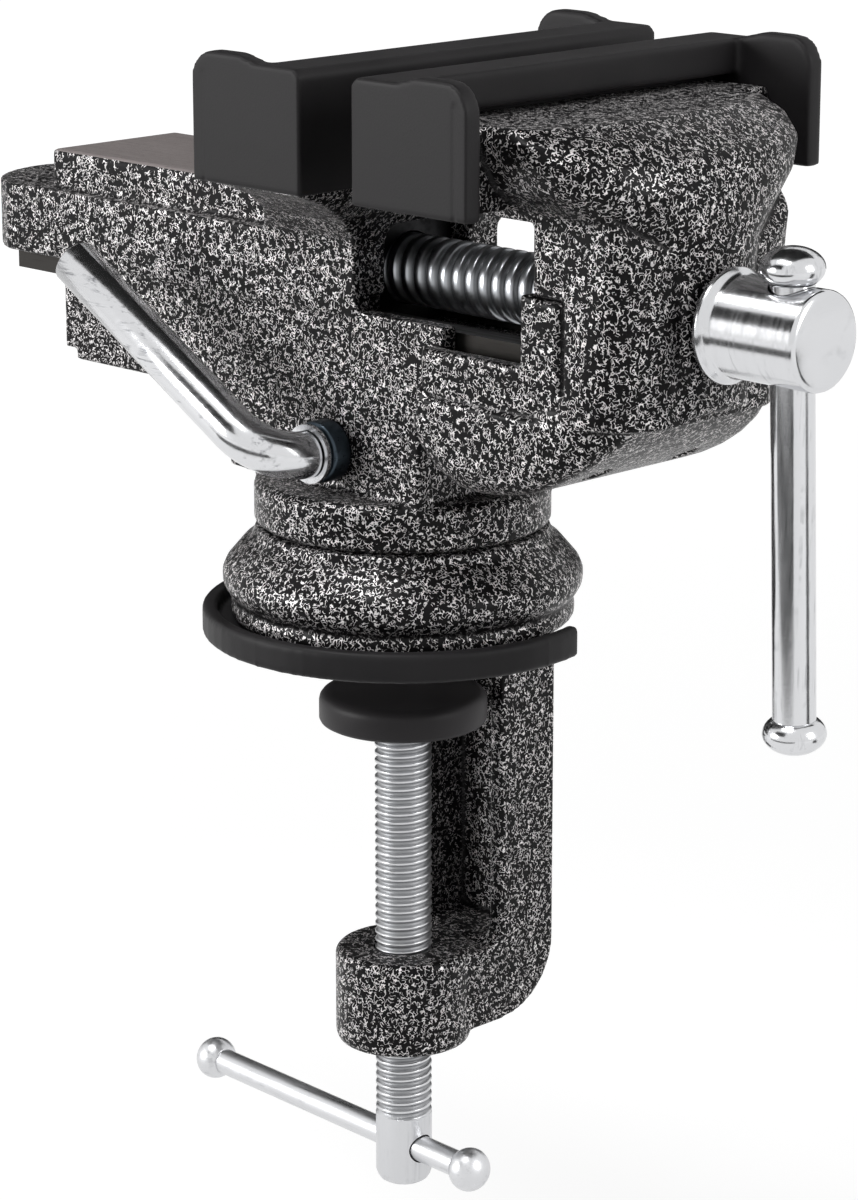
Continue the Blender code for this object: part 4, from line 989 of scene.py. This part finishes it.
for name, (place, size, power) in lamps.items():
    light = bpy.data.lights.new(name, 'AREA')
    light.shape = 'RECTANGLE'
    light.size, light.size_y = size
    light.energy = power
    item = bpy.data.objects.new(name, light)
    item.location = place
    item.rotation_euler = (AIM - Vector(place)).to_track_quat('-Z', 'Y').to_euler()
    bpy.context.collection.objects.link(item)
    print(name, "of", power, "W at", place)

# %% [markdown]
# ## Black cards
#
# Bright metal in an all white room has no edges.  As in a studio, black cards stand and hang out
# of view, and only reflections see them: they draw the dark bands along the rods.  A card is where
# the view of the camera lands, once it is mirrored in the metal at a dark band of the photo.

# %% Corners of the cards
CAMERA_AZIMUTH = -45
CARD_Z = -100.5 * MM


def wedge(azimuth, spread, near, far):
    """Four corners of a lying card; azimuth 0 is the side of the camera, seen from above."""
    corners = []
    for distance, side in ((near, -1), (near, 1), (far, -1), (far, 1)):
        turn = math.radians(azimuth + CAMERA_AZIMUTH + side * spread / 2)
        corners.append((distance * math.cos(turn), distance * math.sin(turn), CARD_Z))
    return corners


def standing(azimuth, distance, half_width, low, high):
    """Four corners of an upright card that faces the vise."""
    turn = math.radians(azimuth + CAMERA_AZIMUTH)
    middle = Vector((math.cos(turn), math.sin(turn), 0)) * distance
    side = Vector((-math.sin(turn), math.cos(turn), 0)) * half_width
    return [middle + side * way + Vector((0, 0, height))
            for height in (low, high) for way in (-1, 1)]


# %% Black cards
cards = {"card_floor_front": wedge(azimuth=-42, spread=92, near=0.39, far=0.8),
         "card_floor_right": wedge(azimuth=67, spread=14, near=0.28, far=0.8),
         "card_ceiling": [(-0.9, -0.11, 0.6), (0.2, -0.11, 0.6), (-0.9, 0.6, 0.6), (0.2, 0.6, 0.6)],
         "card_upper_left": [(-0.8, -0.95, 0.42), (0.1, -0.95, 0.42),
                             (-0.8, -0.95, 1.12), (0.1, -0.95, 1.12)],
         "card_back": standing(azimuth=180, distance=0.8, half_width=0.6, low=-0.09, high=0.45)}

card_paint, card_shader = new_finish("black card", (0.01, 0.01, 0.01), 0.9, 0.0)
wire(card_paint, level(card_paint, noise(card_paint, object_places(card_paint), 2.0), 0, 1,
                       0.85, 0.95), card_shader.inputs["Roughness"])
for name, corners in cards.items():
    bpy.ops.object.select_all(action='DESELECT')
    bpy.ops.mesh.primitive_plane_add(size=1)
    card = bpy.context.object
    card.name = name
    for vertex, corner in zip(card.data.vertices, corners):
        vertex.co = corner
    card.data.materials.append(card_paint)
    card.visible_camera = False
    card.visible_diffuse = False
    card.visible_shadow = False
print("cards:", ", ".join(cards))

# %% [markdown]
# ## Camera
#
# The camera stands where the one of the photo stood: 45 degrees round and 15.3 degrees up, with a
# long lens.  Place and lens were fitted to edges of the vise whose size is known.

# %% Camera
CAMERA_PLACE = (0.45030, -0.44396, 0.17799)
CAMERA_UP = 15.3
CAMERA_LENS = 114.3
CAMERA_SENSOR = 36

camera_data = bpy.data.cameras.new("camera")
camera_data.lens = CAMERA_LENS
camera_data.sensor_width = CAMERA_SENSOR
camera = bpy.data.objects.new("camera", camera_data)
camera.location = CAMERA_PLACE
camera.rotation_euler = (math.radians(90 - CAMERA_UP), 0, math.radians(90 + CAMERA_AZIMUTH))
bpy.context.collection.objects.link(camera)
bpy.context.scene.camera = camera
bpy.context.scene.view_settings.view_transform = 'Standard'
print("camera at", CAMERA_PLACE, "with a lens of", CAMERA_LENS, "mm")
